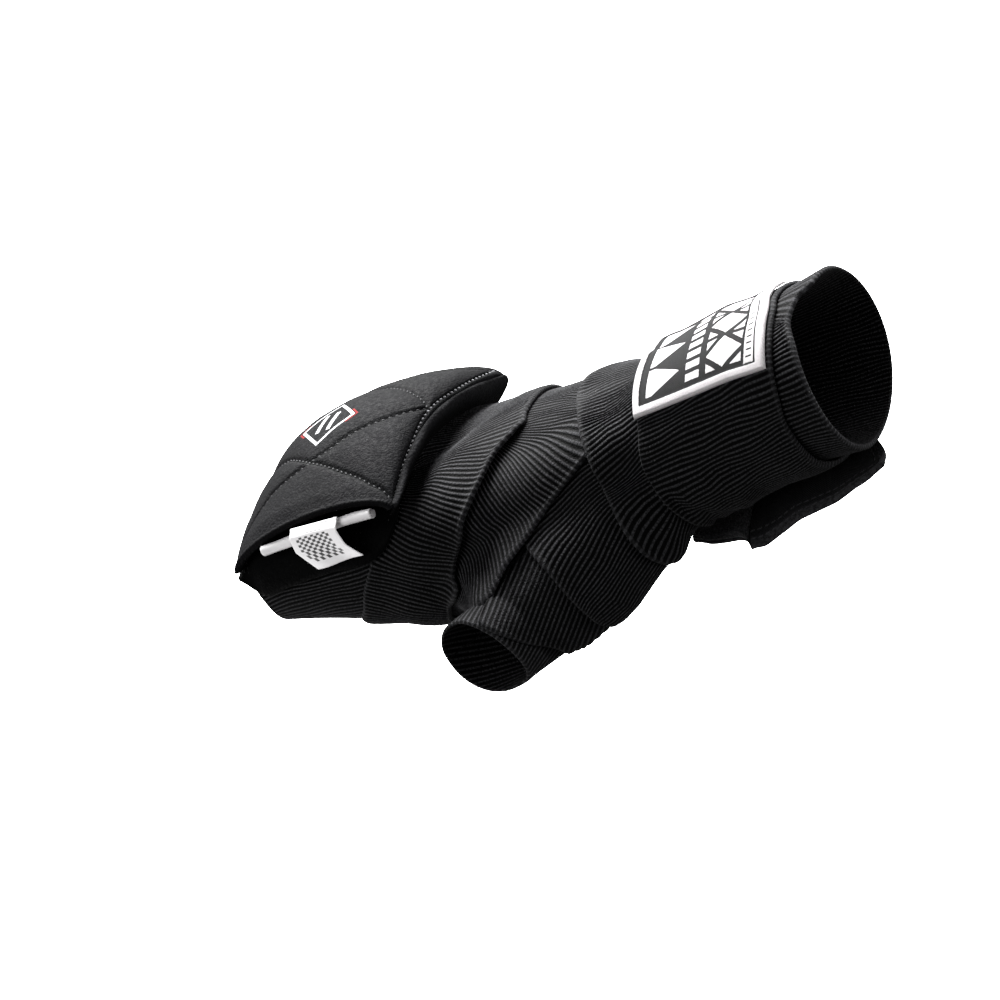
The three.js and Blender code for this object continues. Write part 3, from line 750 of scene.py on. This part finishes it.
def makeThumbLoop():
    angle, v = roundLattice(loop["stepsRound"], loop["stepsAlong"])
    end = roundColumn(loopRim, "end", angle)
    s = mixed(loop["start"], end, v)
    radius = mixed(roundColumn(loopRim, "root", angle), roundColumn(loopRim, "rim", angle), smooth(v * 1.1))
    radius = radius + 0.12 * np.sin(3 * np.radians(angle) + 1) * smooth(s / 12)
    edge = end - s
    phase = loop["ribs"] * angle / 360 + loop["lean"] * s
    wall = ribbedWall(loop["wall"], edge, ribHeight(phase), loop["ribDepth"], loop["selvage"])
    inner = radius - loop["wall"]
    piece = shell("thumb_loop_cloth", roundLoop(s, angle, inner + wall), roundLoop(s, angle, inner),
                  {"rib": phase, "across": s, "edge": edge}, closed=True)
    dress(piece, elastic, "thumb_loop")


makeThumbLoop()
print("thumb loop")

# The quilted pad

padSlices = table(
    "y frontX frontZ rearX rearZ bulge footX",
    (-43, -114.1, 16.5, -49.9, 20.6, 9, -54),
    (-22, -115, 23, -50.2, 26.5, 10.5, -55),
    (0, -115, 27, -50, 28.5, 11.1, -56),
    (22, -113, 24, -49, 25, 11.1, -56.5),
    (43, -110, 17, -48, 18, 10, -57),
)
pad = {
    "reach": 43, "wall": 1.9, "length": 76,      # length of the top panel along its arch
    # how flat its front part is at the near end, how much flatter farther in, and over which length and share
    "slope": 0.05, "slopeMore": 0.4, "slopeLength": 30, "slopeShare": 0.55,
    "sink": 0.5, "puff": 0.95, "puffReach": 4.5, "groove": 0.6, "grooveWidth": 0.7,
    "rows": 150, "cols": 150,
    "baseWall": 1.1, "gap": 0.35, "baseFarAngle": 16, "rearWall": 1.4, "rearBow": 2.2,
    "middleX": -80, "hemIn": 3.4, "footIn": 2.8,
    "baseFlat": (0.0545, 0.083), "rearFlat": (0.0125, 0.098),    # flat sizes, in metres
    "stitch": 1.4, "stitchPitch": 2.2, "thread": 0.28, "rimThread": 0.33, "slant": 0.45,
}
# Quilting seams, each through points: the place across the pad and the share of its arch.
padSeams = (
    ((1, 0.92), (-6.4, 0.777), (-12.8, 0.635), (-19, 0.54), (-23.2, 0.437), (-26, 0.325), (-31, 0.225),
     (-41, 0.07)),
    ((1, 0.92), (7.8, 0.77), (16.6, 0.617), (30, 0.33), (43, 0.09)),
    ((0, 0.02), (-13.8, 0.37), (-22.3, 0.5), (-30.5, 0.64), (-36.8, 0.78), (-40.8, 0.95)),
    ((0, 0.02), (14, 0.37), (22.5, 0.5), (31, 0.64), (37, 0.78), (41, 0.9)),
)
rimSeam = table("y v", (-43, 0.985), (-20, 0.975), (0, 0.935), (20, 0.94), (43, 0.895))     # along the rear


def padPlace(y, v):
    s = 0.5 - 0.5 * np.cos(np.pi * v)
    row = {name: column(padSlices, "y", name, y) for name in padSlices if name != "y"}
    flat = pad["slope"] + pad["slopeMore"] * smooth((y + pad["reach"]) / pad["slopeLength"])
    front = smooth((pad["slopeShare"] - s) / pad["slopeShare"])
    arch = np.maximum(4 * s * (1 - s), 1e-9) ** (0.5 + flat * front)
    return np.stack([mixed(row["frontX"], row["rearX"], s), y,
                     mixed(row["frontZ"], row["rearZ"], s) + row["bulge"] * arch], -1)


def padSkin(y, v, height):
    y, v = np.broadcast_arrays(np.asarray(y, float), np.asarray(v, float))
    across = padPlace(y + 0.5, v) - padPlace(y - 0.5, v)
    run = padPlace(y, np.minimum(v + 0.01, 1)) - padPlace(y, np.maximum(v - 0.01, 0))
    normal = unit(np.cross(run, across))
    normal = normal * np.where(normal[..., 2:] < -0.2, -1, 1)
    return padPlace(y, v) + normal * np.asarray(height)[..., None]


def alongSeam(points, count):
    t = np.linspace(0, len(points) - 1, count)
    return tuple(np.interp(t, np.arange(len(points)), [q[k] for q in points]) for k in (0, 1))


def seamDistance(y, v):
    best = np.abs(v - column(rimSeam, "y", "v", y)) * pad["length"]
    at = np.stack([y, v * pad["length"]], -1)
    for seam in padSeams:
        for a, b in zip(seam[:-1], seam[1:]):
            start, end = (np.array([q[0], q[1] * pad["length"]]) for q in (a, b))
            run = end - start
            t = np.clip((at - start) @ run / (run @ run), 0, 1)
            best = np.minimum(best, np.linalg.norm(at - start - t[..., None] * run, axis=-1))
    return best


def quilt(y, v):
    near = seamDistance(y, v)
    rim = np.minimum(pad["reach"] - np.abs(y), np.minimum(v, 1 - v) * pad["length"])
    puff = pad["puff"] * (1 - np.exp(-near / pad["puffReach"])) * smooth((rim + 1) / 7)
    return puff - pad["sink"] - pad["groove"] * np.exp(-(near / pad["grooveWidth"]) ** 2) * smooth(rim / 1.5)


def neoprene(name, dark, light, depth, layer=None):
    p = Paint(name)
    weave = p.noise(1.5, 3).ramp(0.3, 0.7)
    pores = p.noise(0.8, 3).ramp(0.25, 0.75)
    dust = p.noise(0.05, 4)
    pucker = p.fact("pucker")
    # Darker where the cloth puckers: painted shade in the quilting grooves and along hems and joins. The same
    # mask also raises wrinkles in the bump.
    colour = p.colours(weave * 0.4 + pores * 0.3 + dust * 0.5 - pucker * 0.35, dark, light)
    lint = p.noise(0.55, 1).ramp(0.815, 0.835)
    colour = p.colours(lint, colour, (0.08, 0.08, 0.08))
    if layer:
        colour = layer(p, colour)
    wrinkle = p.noise(0.45, 2) * pucker
    bump = p.bump(weave * 0.8 + pores * 0.5 + wrinkle * 3, depth)
    return p.finish(colour, 0.64 + pores * 0.2, bump, sheen=0.004, sheenRough=0.4, specular=0.022)


emblem = {
    "across": -3.5, "along": 37.5, "halfWide": 11.5, "halfLong": 8, "line": 0.13,
    "white": (0.32, 0.32, 0.325), "red": (0.14, 0.012, 0.012),
}


# An outlined lozenge with two short bars.
def paintEmblem(p, under):
    a = abs(p.fact("y") - emblem["across"]) / emblem["halfWide"]
    b = abs(p.fact("run") - emblem["along"]) / emblem["halfLong"]
    reach = a + b
    ring = (reach < 1) * (reach > (1 - emblem["line"]))
    bars = (a < 0.42) * (abs(b - 0.2) < 0.075)
    corners = (reach < 1.12) * (reach > 1.04) * (a < 0.3)
    colour = p.colours((ring + bars).least(1), under, emblem["white"])
    return p.colours(corners * 0.8, colour, emblem["red"])


def makeTopPanel():
    y, v = lattice(pad["rows"], pad["cols"], (-pad["reach"], pad["reach"]))
    top = padSkin(y, v, quilt(y, v) + 0.1 * waves(y * 3, v * 500, 5))
    bottom = padSkin(y, v, -pad["sink"] - pad["wall"])
    pucker = np.exp(-seamDistance(y, v) / 2.2)
    piece = shell("pad_top_quilt", top, bottom, {"pucker": pucker, "y": y, "run": v * pad["length"]})
    cloth = neoprene("pad_neoprene", (0.0002, 0.0002, 0.0003), (0.0035, 0.0035, 0.0041), 0.13, paintEmblem)
    dress(piece, cloth, "pad_top_panel")


# A stitch is a short thread, sunk at both ends. Its rings: place along it, size and height.
stitchRings = (
    (-1, 0.25, -0.9), (-0.8, 0.75, -0.2), (-0.3, 1, 0.25), (0.3, 1, 0.25), (0.8, 0.75, -0.2), (1, 0.25, -0.9))


# Stitches along lines of points, with the cloth's direction out of it at each point.
def stitches(name, lines, colour, size):
    points, faces = [], []
    sides, rings = 6, len(stitchRings)
    for line, normal in lines:
        steps = np.linalg.norm(np.diff(line, axis=0), axis=1)
        along = np.concatenate([[0], np.cumsum(steps)])
        count = int(along[-1] / pad["stitchPitch"])
        for k in range(count):
            middle = (k + 0.5) / count * along[-1]
            at, ahead, up = (np.array([np.interp(place, along, values[:, c]) for c in range(3)])
                             for place, values in ((middle, line), (middle + 0.4, line), (middle, normal)))
            run = unit(ahead - at)
            up = unit(up - run * (up @ run))
            side = np.cross(run, up)
            run, side = run + side * pad["slant"], side - run * pad["slant"]
            first = len(points)
            for place, wide, high in stitchRings:
                centre = at + run * place * pad["stitch"] / 2 + up * high * size
                for q in range(sides):
                    a = 2 * math.pi * q / sides
                    points.append(centre + size * wide * (math.cos(a) * side + math.sin(a) * up))
            for ring in range(rings - 1):
                for q in range(sides):
                    a, b = (first + ring * sides + k % sides for k in (q, q + 1))
                    faces.append([a, b, b + sides, a + sides])
            faces.append([first + q for q in range(sides)][::-1])
            faces.append([first + (rings - 1) * sides + q for q in range(sides)])
    piece = makeObject(name, points, faces)
    p = Paint(name + "_thread")
    twisted = p.colours(p.noise(4, 2), tuple(c * 0.6 for c in colour), colour)
    piece.data.materials.append(p.finish(twisted, 0.7, sheen=0.02, specular=0.1))
    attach(piece, "root")


def padLine(ys, vs, height):
    line = padSkin(ys, vs, height)
    return line, padSkin(ys, vs, height + 1) - line


def makePadStitches():
    lines = []
    for seam in padSeams:
        ys, vs = alongSeam(seam, 90)
        lines.append(padLine(ys, vs, quilt(ys, vs) + 0.12))
    stitches("pad_quilting", lines, (0.016, 0.016, 0.0175), pad["thread"])
    ys = np.linspace(-pad["reach"] + 0.8, pad["reach"] - 0.8, 100)
    vs = column(rimSeam, "y", "v", ys)
    stitches("pad_rim_stitches", [padLine(ys, vs, quilt(ys, vs) + 0.24)], (0.19, 0.19, 0.2), pad["rimThread"])


makeTopPanel()
makePadStitches()
print("pad: top")


# A place under the pad, from its front hem to its rear wall's foot.
def padFloor(angle, share, lift):
    y = onSkin(pad["middleX"], angle, band["underHeight"])[..., 1]
    front = column(padSlices, "y", "frontX", np.clip(y, -pad["reach"], pad["reach"])) + pad["hemIn"]
    x = mixed(front, column(padSlices, "y", "footX", y) - pad["footIn"], share)
    return onSkin(x, angle, stack(len(order), x, angle) + lift)


# Z of the turns at the place x, y, found by halving a range of angles.
def floorHeight(x, y, lift):
    low, high = np.full(np.shape(y), 10.0), np.full(np.shape(y), 170.0)
    for _ in range(18):
        angle = (low + high) / 2
        right = onSkin(x, angle, stack(len(order), x, angle) + lift)[..., 1] > y
        low, high = np.where(right, angle, low), np.where(right, high, angle)
    return onSkin(x, low, stack(len(order), x, low) + lift)[..., 2]


# Where the rear wall ends on the turns.
wallFoot = table(
    "y x z",
    (-43, -51.5, 18.3), (-36, -51.5, 19.5), (-28, -52, 20.6), (-15, -53.5, 22), (-5, -54.5, 22),
    (5, -56.5, 20.6), (15, -58.2, 17.6), (30, -58.6, 12.6), (43, -56, 9.6))
# The under panel's near edge: its angle round the wrap, by the share of its length.
baseEdge = table("share angle", (0, 174), (0.05, 184), (0.12, 184), (0.3, 181), (0.55, 177.5), (0.8, 176.5),
                 (0.92, 173), (1, 166))


def makePadBase():
    # The lining's own dark colour, darkened further as painted shade under the pad.
    cloth = neoprene("pad_lining_and_shade", (0.0001, 0.0001, 0.00013), (0.0009, 0.0009, 0.001), 0.1)
    side, share = lattice(100, 56)
    angle = mixed(column(baseEdge, "share", "angle", share), pad["baseFarAngle"], side)
    low = pad["gap"] + 0.1 * (1 + waves(share * 60, angle, 8))
    top, bottom = padFloor(angle, share, low + pad["baseWall"]), padFloor(angle, share, low)
    # its front hem meets the top panel's front edge
    hem = padPlace(mixed(-pad["reach"], pad["reach"], side), 0 * side) + np.array([0.3, 0, -pad["wall"]])
    meets = 1 - smooth(share / 0.1)[..., None]
    top, bottom = mixed(top, hem, meets), mixed(bottom, hem - np.array([0, 0, pad["baseWall"]]), meets)
    pucker = np.exp(-np.minimum(share, 1 - share) * 20)
    piece = shell("pad_base_panel", top, bottom, {"pucker": pucker})
    dress(piece, cloth, "pad_base")


def paintShade(p, under):
    return p.colours(p.fact("drop").ramp(0.1, 0.7), under, (0.0003, 0.0003, 0.0004))


def makeGusset():
    y, v = lattice(100, 30, (-pad["reach"] + 0.6, pad["reach"] - 0.3))
    rim = padPlace(y, v * 0 + 1)[..., 2]
    out = pad["rearBow"] * np.sin(np.pi * np.clip(v * 1.05, 0, 1) ** 0.62) * (1 + 0.15 * np.sin(y * 0.31))
    x = mixed(column(padSlices, "y", "rearX", y) - 0.9, column(wallFoot, "y", "x", y), v ** 1.3) + out
    outer = np.stack([x, y, mixed(rim + 0.7, column(wallFoot, "y", "z", y), v)], -1)
    piece = shell("pad_rear_gusset", outer, outer - np.array([pad["rearWall"], 0, 0]),
                  {"pucker": np.exp(-np.minimum(v, 1 - v) * 8), "drop": v})
    cloth = neoprene("pad_gusset", (0.001, 0.001, 0.0011), (0.012, 0.012, 0.013), 0.15, paintShade)
    dress(piece, cloth, "pad_rear_wall")


foam = {"near": -26, "far": 39, "taper": 4, "front": 0.05, "rear": 0.8, "gap": 0.2, "floorGap": 0.6,
        "thinEnds": 0.35}


def makeFoam():
    y, s = lattice(70, 60, (foam["near"], foam["far"]), (foam["front"], foam["rear"]))
    top = padSkin(y, np.arccos(1 - 2 * s) / np.pi, -pad["sink"] - pad["wall"] - foam["gap"])
    low = top.copy()
    floorZ = floorHeight(top[..., 0], y, 2 * pad["gap"] + pad["baseWall"] + foam["floorGap"])
    low[..., 2] = np.minimum(floorZ, top[..., 2] - 1)
    middle = (top + low) / 2
    thick = window(y, foam["near"], foam["taper"], foam["far"], foam["taper"])
    full = mixed(foam["thinEnds"], 1, thick)[..., None]
    piece = shell("pad_foam", mixed(middle, top, full), mixed(middle, low, full))
    p = Paint("dark_foam")
    cells = p.node("ShaderNodeTexVoronoi", None, {"Vector": p.place(), "Scale": 2.2})
    colour = p.colours(cells, (0.001, 0.001, 0.001), (0.007, 0.007, 0.0073))
    dress(piece, p.finish(colour, 0.95, p.bump(cells, 0.25), specular=0.1), "pad_core")


makePadBase()
makeGusset()
makeFoam()
print("pad: inside")

binding = {
    "lap": 3.4, "proud": 0.25, "wall": 0.4,
    "flat": (0.0101, 0.077),        # flat size, in metres
}


def makeBinding():
    lap, out, wall = binding["lap"], binding["proud"], pad["wall"]
    # the tape's section: steps in from the rim, and height over the pad's skin
    section = ((lap, out - 0.15), (lap - 0.3, out), (0.5, out), (-0.25, out - 0.2), (-0.6, -wall * 0.3),
               (-0.6, -wall * 0.7), (-0.25, -wall - out + 0.2), (0.5, -wall - out), (lap, -wall - out))
    inward, high = np.array(section).T
    v = np.broadcast_to(np.linspace(0, 1, 150)[:, None], (150, len(section)))
    pinch = 0.12 * np.abs(np.sin(v * pad["length"] / pad["stitchPitch"] * math.pi))

    def along(steps, height):
        line = padSkin(-pad["reach"], v, height - pad["sink"])
        line[..., 1] += steps
        return line

    outer = along(inward, high + pinch)
    inner = along(np.clip(inward, 0.2, lap), np.clip(high, -wall, 0) + 0 * v)
    away = np.linalg.norm(outer - inner, axis=-1, keepdims=True)
    inner = mixed(outer, inner, binding["wall"] / np.maximum(away, 0.5))
    piece = shell("pad_edge_tape", outer, inner, {"pucker": np.full(v.shape, 0.3)})
    cloth = neoprene("edge_tape", (0.0004, 0.0004, 0.0005), (0.0035, 0.0035, 0.004), 0.1)
    dress(piece, cloth, "pad_binding")


makeBinding()
print("pad: binding")

# The white label at the pad's near end

label = {
    "middle": (-78.3, -43.7, 21.7), "radius": 1.9, "length": 42, "turns": 2.6, "wall": 0.28, "pitch": 0.5,
    "flapY": -46.4, "flapWall": 0.35, "flapWidth": 18, "curl": 1.6,
    "rolledFlat": 0.0225, "flapFlat": (0.019, 0.0165),      # flat sizes, in metres
    # the rolled part is the same ribbon as the hanging end, painted darker as painted shade
    "shadedRollColours": ((0.5, 0.49, 0.5), (0.66, 0.65, 0.655)),
    "flapColours": ((0.66, 0.65, 0.66), (0.8, 0.785, 0.79)),
    "dark": (0.007, 0.007, 0.008),
}
# The hanging end's left and right edges from the top down, x and z.
flapLeft = ((-85.2, 25.2), (-85.9, 22.3), (-86.4, 18.2), (-82.7, 10.7))
flapRight = ((-67.8, 24.4), (-68.7, 21.2), (-68.3, 16.1), (-65.3, 10.8))


def satin(name, low, high, rough, layer=None):
    p = Paint(name)
    threads = (p.fact("across") * 14).sine() * 0.5 + 0.5
    soft = p.noise(0.25, 3)
    colour = p.colours(soft * 0.7 + threads * 0.2, low, high)
    if layer:
        colour = layer(p, colour)
    return p.finish(colour, rough + soft * 0.15, p.bump(threads * 0.4 + soft * 2, 0.05), sheen=0.1)


def makeLabel():
    along, t = lattice(90, 80, (-0.5, 0.5))
    angle = 2 * np.pi * label["turns"] * t + 2.6
    radius = label["radius"] - label["pitch"] * label["turns"] * (1 - t)
    radius = radius + 0.06 * np.sin(along * 21) + 0.05 * np.sin(angle * 2 + along * 5)
    middleX, middleY, middleZ = label["middle"]
    x = middleX + along * label["length"] + 0.5 * (t - 0.5)

    def at(r):
        sag = -0.5 * (2 * along) ** 2 + 0.4 * np.sin(along * 5)
        return np.stack([x, middleY + r * np.cos(angle), middleZ + sag + r * np.sin(angle)], -1)

    across = along * label["length"]
    piece = shell("label_rolled", at(radius), at(radius - label["wall"]), {"across": across})
    dress(piece, satin("white_satin_ribbon", *label["shadedRollColours"], 0.42), "label_roll")


# A chequer of small squares with a row of dashes over it.
def paintChequer(p, under):
    a, b = p.fact("u") * 16, p.fact("v") * 15
    at = p.node("ShaderNodeCombineXYZ", None, {0: a, 1: b})
    chequer = p.node("ShaderNodeTexChecker", None, {"Vector": at, "Scale": 1}, out="Fac")
    inside = (a > 2) * (a < 13) * (b > 4) * (b < 13)
    dashes = (a > 5) * (a < 11) * (b > 2.3) * (b < 2.8) * ((a * 4.4).sine() > -0.2)
    return p.colours(chequer * inside * 0.95 + dashes * 0.6, under, label["dark"])


def makeFlap():
    u, v = lattice(50, 44)
    (leftX, leftZ), (rightX, rightZ) = ([np.interp(v * 3, range(4), values) for values in zip(*side)]
                                        for side in (flapLeft, flapRight))
    y = (label["flapY"] - label["curl"] * np.sin(math.pi * (0.15 + 0.75 * v)) * (0.6 + 0.4 * u)
         + 1.5 * smooth(1 - v * 4) - 0.5 * np.sin(u * 7) * v)
    front = np.stack([mixed(leftX, rightX, u), y, mixed(leftZ, rightZ, u)], -1)
    piece = shell("label_hanging_end", front, front + np.array([0, label["flapWall"], 0]),
                  {"across": u * label["flapWidth"], "u": u, "v": v})
    cloth = satin("printed_satin", *label["flapColours"], 0.45, paintChequer)
    dress(piece, cloth, "label_flap")


makeLabel()
makeFlap()
print("label")

# The patch on the last turn

patch = {
    "frontX": 26.3, "inset": 1.3, "nearAngle": 153, "farAngle": 58, "wall": 1.0, "gap": 0.45,
    "wide": 46.4, "border": 2.6, "line": 0.8, "fray": 0.45,
    "rows": 120, "cols": 130,
    # three rows of shapes, from and to across the patch; where they start along it, and their pitches
    "wedges": (5, 17), "bars": (19.5, 24.5), "rings": (27, 39), "start": 4, "cell": 12, "bar": 4,
    "strip": (6.5, 3.4), "ticks": (5.9, 4.1), "tickPitch": 2.2,       # steps in from the far edge
}


def between(value, low, high):
    return (value > low) * (value < high)


def embroidery(wide):
    p = Paint("embroidered_patch")
    fray = (p.noise(2.6, 2) - 0.5) * patch["fray"]      # stitches never end on one clean line
    a, b, edge = p.fact("a") + fray, p.fact("b") + fray, p.fact("edge") + fray
    first, last = patch["wedges"]
    cell = ((b - patch["start"]) / patch["cell"]).fraction()        # place in a repeated cell, from 0 to 1
    up = (a - first) / (last - first)
    slant = abs(cell - 0.5) * 1.9
    wedges = between(a, first, last) * (slant < (1 - up)) * between(cell, 0.06, 0.94)
    bars = between(a, *patch["bars"]) * between(((b - patch["start"]) / patch["bar"]).fraction(), 0.2, 0.8)
    first, last = patch["rings"]
    over = abs(a - (first + last) / 2) / ((last - first) / 2)
    square = abs(cell - 0.5) / 0.44
    corners = ((over + square) > 1.42) * (square < 1) * (over < 1)
    rings = between(a, first, last) * (((over + square) < 1) + corners)
    strip = between(a, *(wide - d for d in patch["strip"]))
    tick = between((b / patch["tickPitch"]).fraction(), 0.35, 0.6)
    ticks = strip * (1 - tick * between(a, *(wide - d for d in patch["ticks"])))
    inside = edge > (patch["border"] + patch["line"])
    white = ((edge < patch["border"]) + inside * (wedges + bars + rings + ticks)).least(1)
    threads = p.noise(3, 2)
    satinStitch = ((a + b * 0.35) * 16).sine() * 0.5 + 0.5
    field = ((a * 9).sine() * (b * 9).sine()) * 0.5 + 0.5
    light = p.colours(threads * 0.6 + satinStitch * 0.4, (0.34, 0.325, 0.33), (0.68, 0.655, 0.665))
    dark = p.colours(field * 0.6 + threads * 0.4, (0.0003, 0.0003, 0.0004), (0.0042, 0.0042, 0.0047))
    bump = p.bump(white * 1.6 + satinStitch * white * 0.8 + field * (1 - white) * 0.4 + threads * 0.6, 0.3)
    return p.finish(p.colours(white, dark, light), 0.75 + threads * 0.15, bump, specular=0.08)


def makePatch():
    u, v = lattice(patch["rows"], patch["cols"])
    angle = mixed(patch["nearAngle"], patch["farAngle"], u)
    rearX = roundColumn(turns["closure_band"], "rear", angle) - patch["inset"]
    x = mixed(patch["frontX"], rearX, v)
    base = stack(len(order), x, angle) - band["turnGap"] + band["thickness"] + patch["gap"]
    low = onSkin(x, angle, base)
    steps = np.linalg.norm(np.diff(low[:, patch["cols"] // 2], axis=0), axis=1)
    around = np.concatenate([[0], np.cumsum(steps)])
    a, b = v * patch["wide"], np.broadcast_to(around[:, None], v.shape)
    wide, long = a.max(), b.max()
    edge = np.minimum(np.minimum(a, wide - a), np.minimum(b, long - b))
    raised = 0.35 * smooth(edge / 0.5) * (1 - smooth((edge - patch["border"]) / 0.4))
    top = onSkin(x, angle, base + patch["wall"] * (0.5 + 0.5 * smooth(edge / 0.5)) + raised)
    piece = shell("wrist_patch_embroidery", top, low, {"a": a, "b": b, "edge": edge})
    dress(piece, embroidery(wide), "wrist_patch")


makePatch()
print("patch")

# The tab of the closing strap

tab = {
    "wall": 1.8, "rootAngle": 305, "edgeAngle": 249, "gap": 0.2, "rows": 110, "cols": 90,
    "seams": (2.2, 4.4),        # double stitching, steps in from the edge
    "pileWall": 1.3, "pileU": (0.01, 0.25), "pileV": (0.5, 0.99),
    "pileFlat": (0.016, 0.0165),        # flat size, in metres
}
# From the strap's root to its free edge. lift is the free edge's height over the turns below it.
tabLines = table(
    "edgeX rootX lift",
    (12, 24, 3), (24, 31, 10.5), (33, 37, 12), (46, 46, 10.5), (60, 56, 9), (74, 66, 7), (84, 72, 4.5))


def tabFace(u, w, lift):
    edgeX = mixed(tabLines["edgeX"][0], tabLines["edgeX"][-1], u)
    x = mixed(column(tabLines, "edgeX", "rootX", edgeX), edgeX, smooth(w))
    angle = mixed(tab["rootAngle"], tab["edgeAngle"], w)
    rise = column(tabLines, "edgeX", "lift", edgeX) * w * w
    top = stack(len(order), x, angle) - band["turnGap"] + band["thickness"]
    return onSkin(x, angle, top + tab["gap"] + rise + lift)


def makeTab():
    u, v = lattice(tab["rows"], tab["cols"])
    flat = tabFace(u, v, 0)
    lengthU = np.linalg.norm(np.diff(flat[:, -1], axis=0), axis=1).sum()
    lengthV = np.linalg.norm(np.diff(flat[tab["rows"] // 2], axis=0), axis=1).sum()
    a, b = u * lengthU, v * lengthV
    edge = np.minimum(np.minimum(a, lengthU - a), lengthV - b)
    seam = sum(np.exp(-((edge - s) / 0.35) ** 2) for s in tab["seams"])
    wave = 0.3 * waves(a * 0.8, b * 4, 3)
    wall = tab["wall"] * (0.5 + 0.5 * smooth(edge / 0.8)) - 0.35 * seam
    piece = shell("closure_tab_strap", tabFace(u, v, wave + wall), tabFace(u, v, wave + 0.2 * seam),
                  {"a": a, "b": b, "edge": edge})
    p = Paint("woven_strap")
    a, b, edge = p.fact("a"), p.fact("b"), p.fact("edge")
    weft, warp = (a * 8).sine(), (b * 8).sine()
    weave = weft * warp * 0.5 + 0.5
    soft = p.noise(0.2, 3)
    trim = (1 - edge.ramp(1.5, 3.2)) * p.noise(0.9, 3).ramp(0.25, 0.7)
    colour = p.colours(weave * 0.2 + soft * 0.2 + trim * 0.8, (0.0004, 0.0004, 0.0005), (0.02, 0.02, 0.0215))
    dashes = ((a + b) * 2.2).sine() > -0.35
    firstSeam, secondSeam = (1 - abs(edge - s).ramp(0.12, 0.32) for s in tab["seams"])
    sewn = (firstSeam + secondSeam) * dashes
    colour = p.colours(sewn.least(1), colour, (0.025, 0.025, 0.027))
    cloth = p.finish(colour, 0.75 + soft * 0.1, p.bump(weave * 0.5 + sewn, 0.18), sheen=0.01, specular=0.035)
    dress(piece, cloth, "closure_tab")


def makePile():
    (firstU, lastU), (firstV, lastV) = tab["pileU"], tab["pileV"]
    u, v = lattice(70, 80, tab["pileU"], tab["pileV"])
    fuzz = chance.uniform(0, 1, u.shape)
    rim = np.minimum(np.minimum(u - firstU, lastU - u) / 0.02, np.minimum(v - firstV, lastV - v) / 0.03)
    deep = tab["pileWall"] * (0.35 + 0.65 * smooth(rim)) + 0.55 * fuzz
    piece = shell("tab_fuzzy_patch", tabFace(u, v, -0.15), tabFace(u, v, -0.15 - deep), {"fuzz": fuzz})
    p = Paint("loop_pile")
    loops = p.noise(2.4, 4)
    colour = p.colours(p.fact("fuzz") * 0.5 + loops * 0.5, (0.002, 0.002, 0.002), (0.05, 0.05, 0.053))
    cloth = p.finish(colour, 0.95, p.bump(loops, 0.4), sheen=0.02, specular=0.035)
    dress(piece, cloth, "tab_loop_patch")


makeTab()
makePile()
print("tab")

# Stage and light

floor = {"drop": 220, "half": 5000}
studio = {
    "world": 0.25,
    "sun": {"towards": (-0.22, 0.62, 0.75), "power": 30, "spread": 38},     # a big soft box overhead
    "fill": {"place": (700, 200, 0), "size": 700, "power": 9},
    "front": {"place": (-450, -900, 560), "size": 700, "power": 10},
    "under": {"place": (-330, -60, -190), "size": 300, "power": 1.2},
}


def makeStage():
    half = floor["half"]
    corners = [(x * half, y * half, -floor["drop"]) for x, y in ((-1, -1), (1, -1), (1, 1), (-1, 1))]
    piece = makeObject("floor", corners, [[0, 1, 2, 3]])
    p = Paint("pale_floor")
    piece.data.materials.append(p.finish(p.colours(p.noise(0.01), (0.86, 0.86, 0.86), (0.9, 0.9, 0.9)), 0.9))
    piece.visible_diffuse = piece.visible_glossy = False      # it throws no light on the cloth from below
    bpy.context.scene.view_settings.view_transform = "Standard"


def hangLamp(name, kind, towards):
    lamp = bpy.data.objects.new(name, bpy.data.lights.new(name, kind))
    lamp.rotation_euler = Vector(towards).to_track_quat("Z", "Y").to_euler()
    bpy.context.scene.collection.objects.link(lamp)
    return lamp


def makeLights():
    world = bpy.data.worlds.new("studio")
    bpy.context.scene.world = world
    world.use_nodes = True
    world.node_tree.nodes["Background"].inputs["Color"].default_value = (1, 1, 1, 1)
    world.node_tree.nodes["Background"].inputs["Strength"].default_value = studio["world"]
    sun = hangLamp("softbox", "SUN", studio["sun"]["towards"])
    sun.data.energy, sun.data.angle = studio["sun"]["power"], math.radians(studio["sun"]["spread"])
    for name in ("fill", "front", "under"):
        light = studio[name]
        lamp = hangLamp(name, "AREA", light["place"])
        lamp.location = Vector(light["place"]) * mm
        lamp.data.size, lamp.data.energy = light["size"] * mm, light["power"]


makeStage()
makeLights()
print("stage set")

bpy.context.view_layer.update()
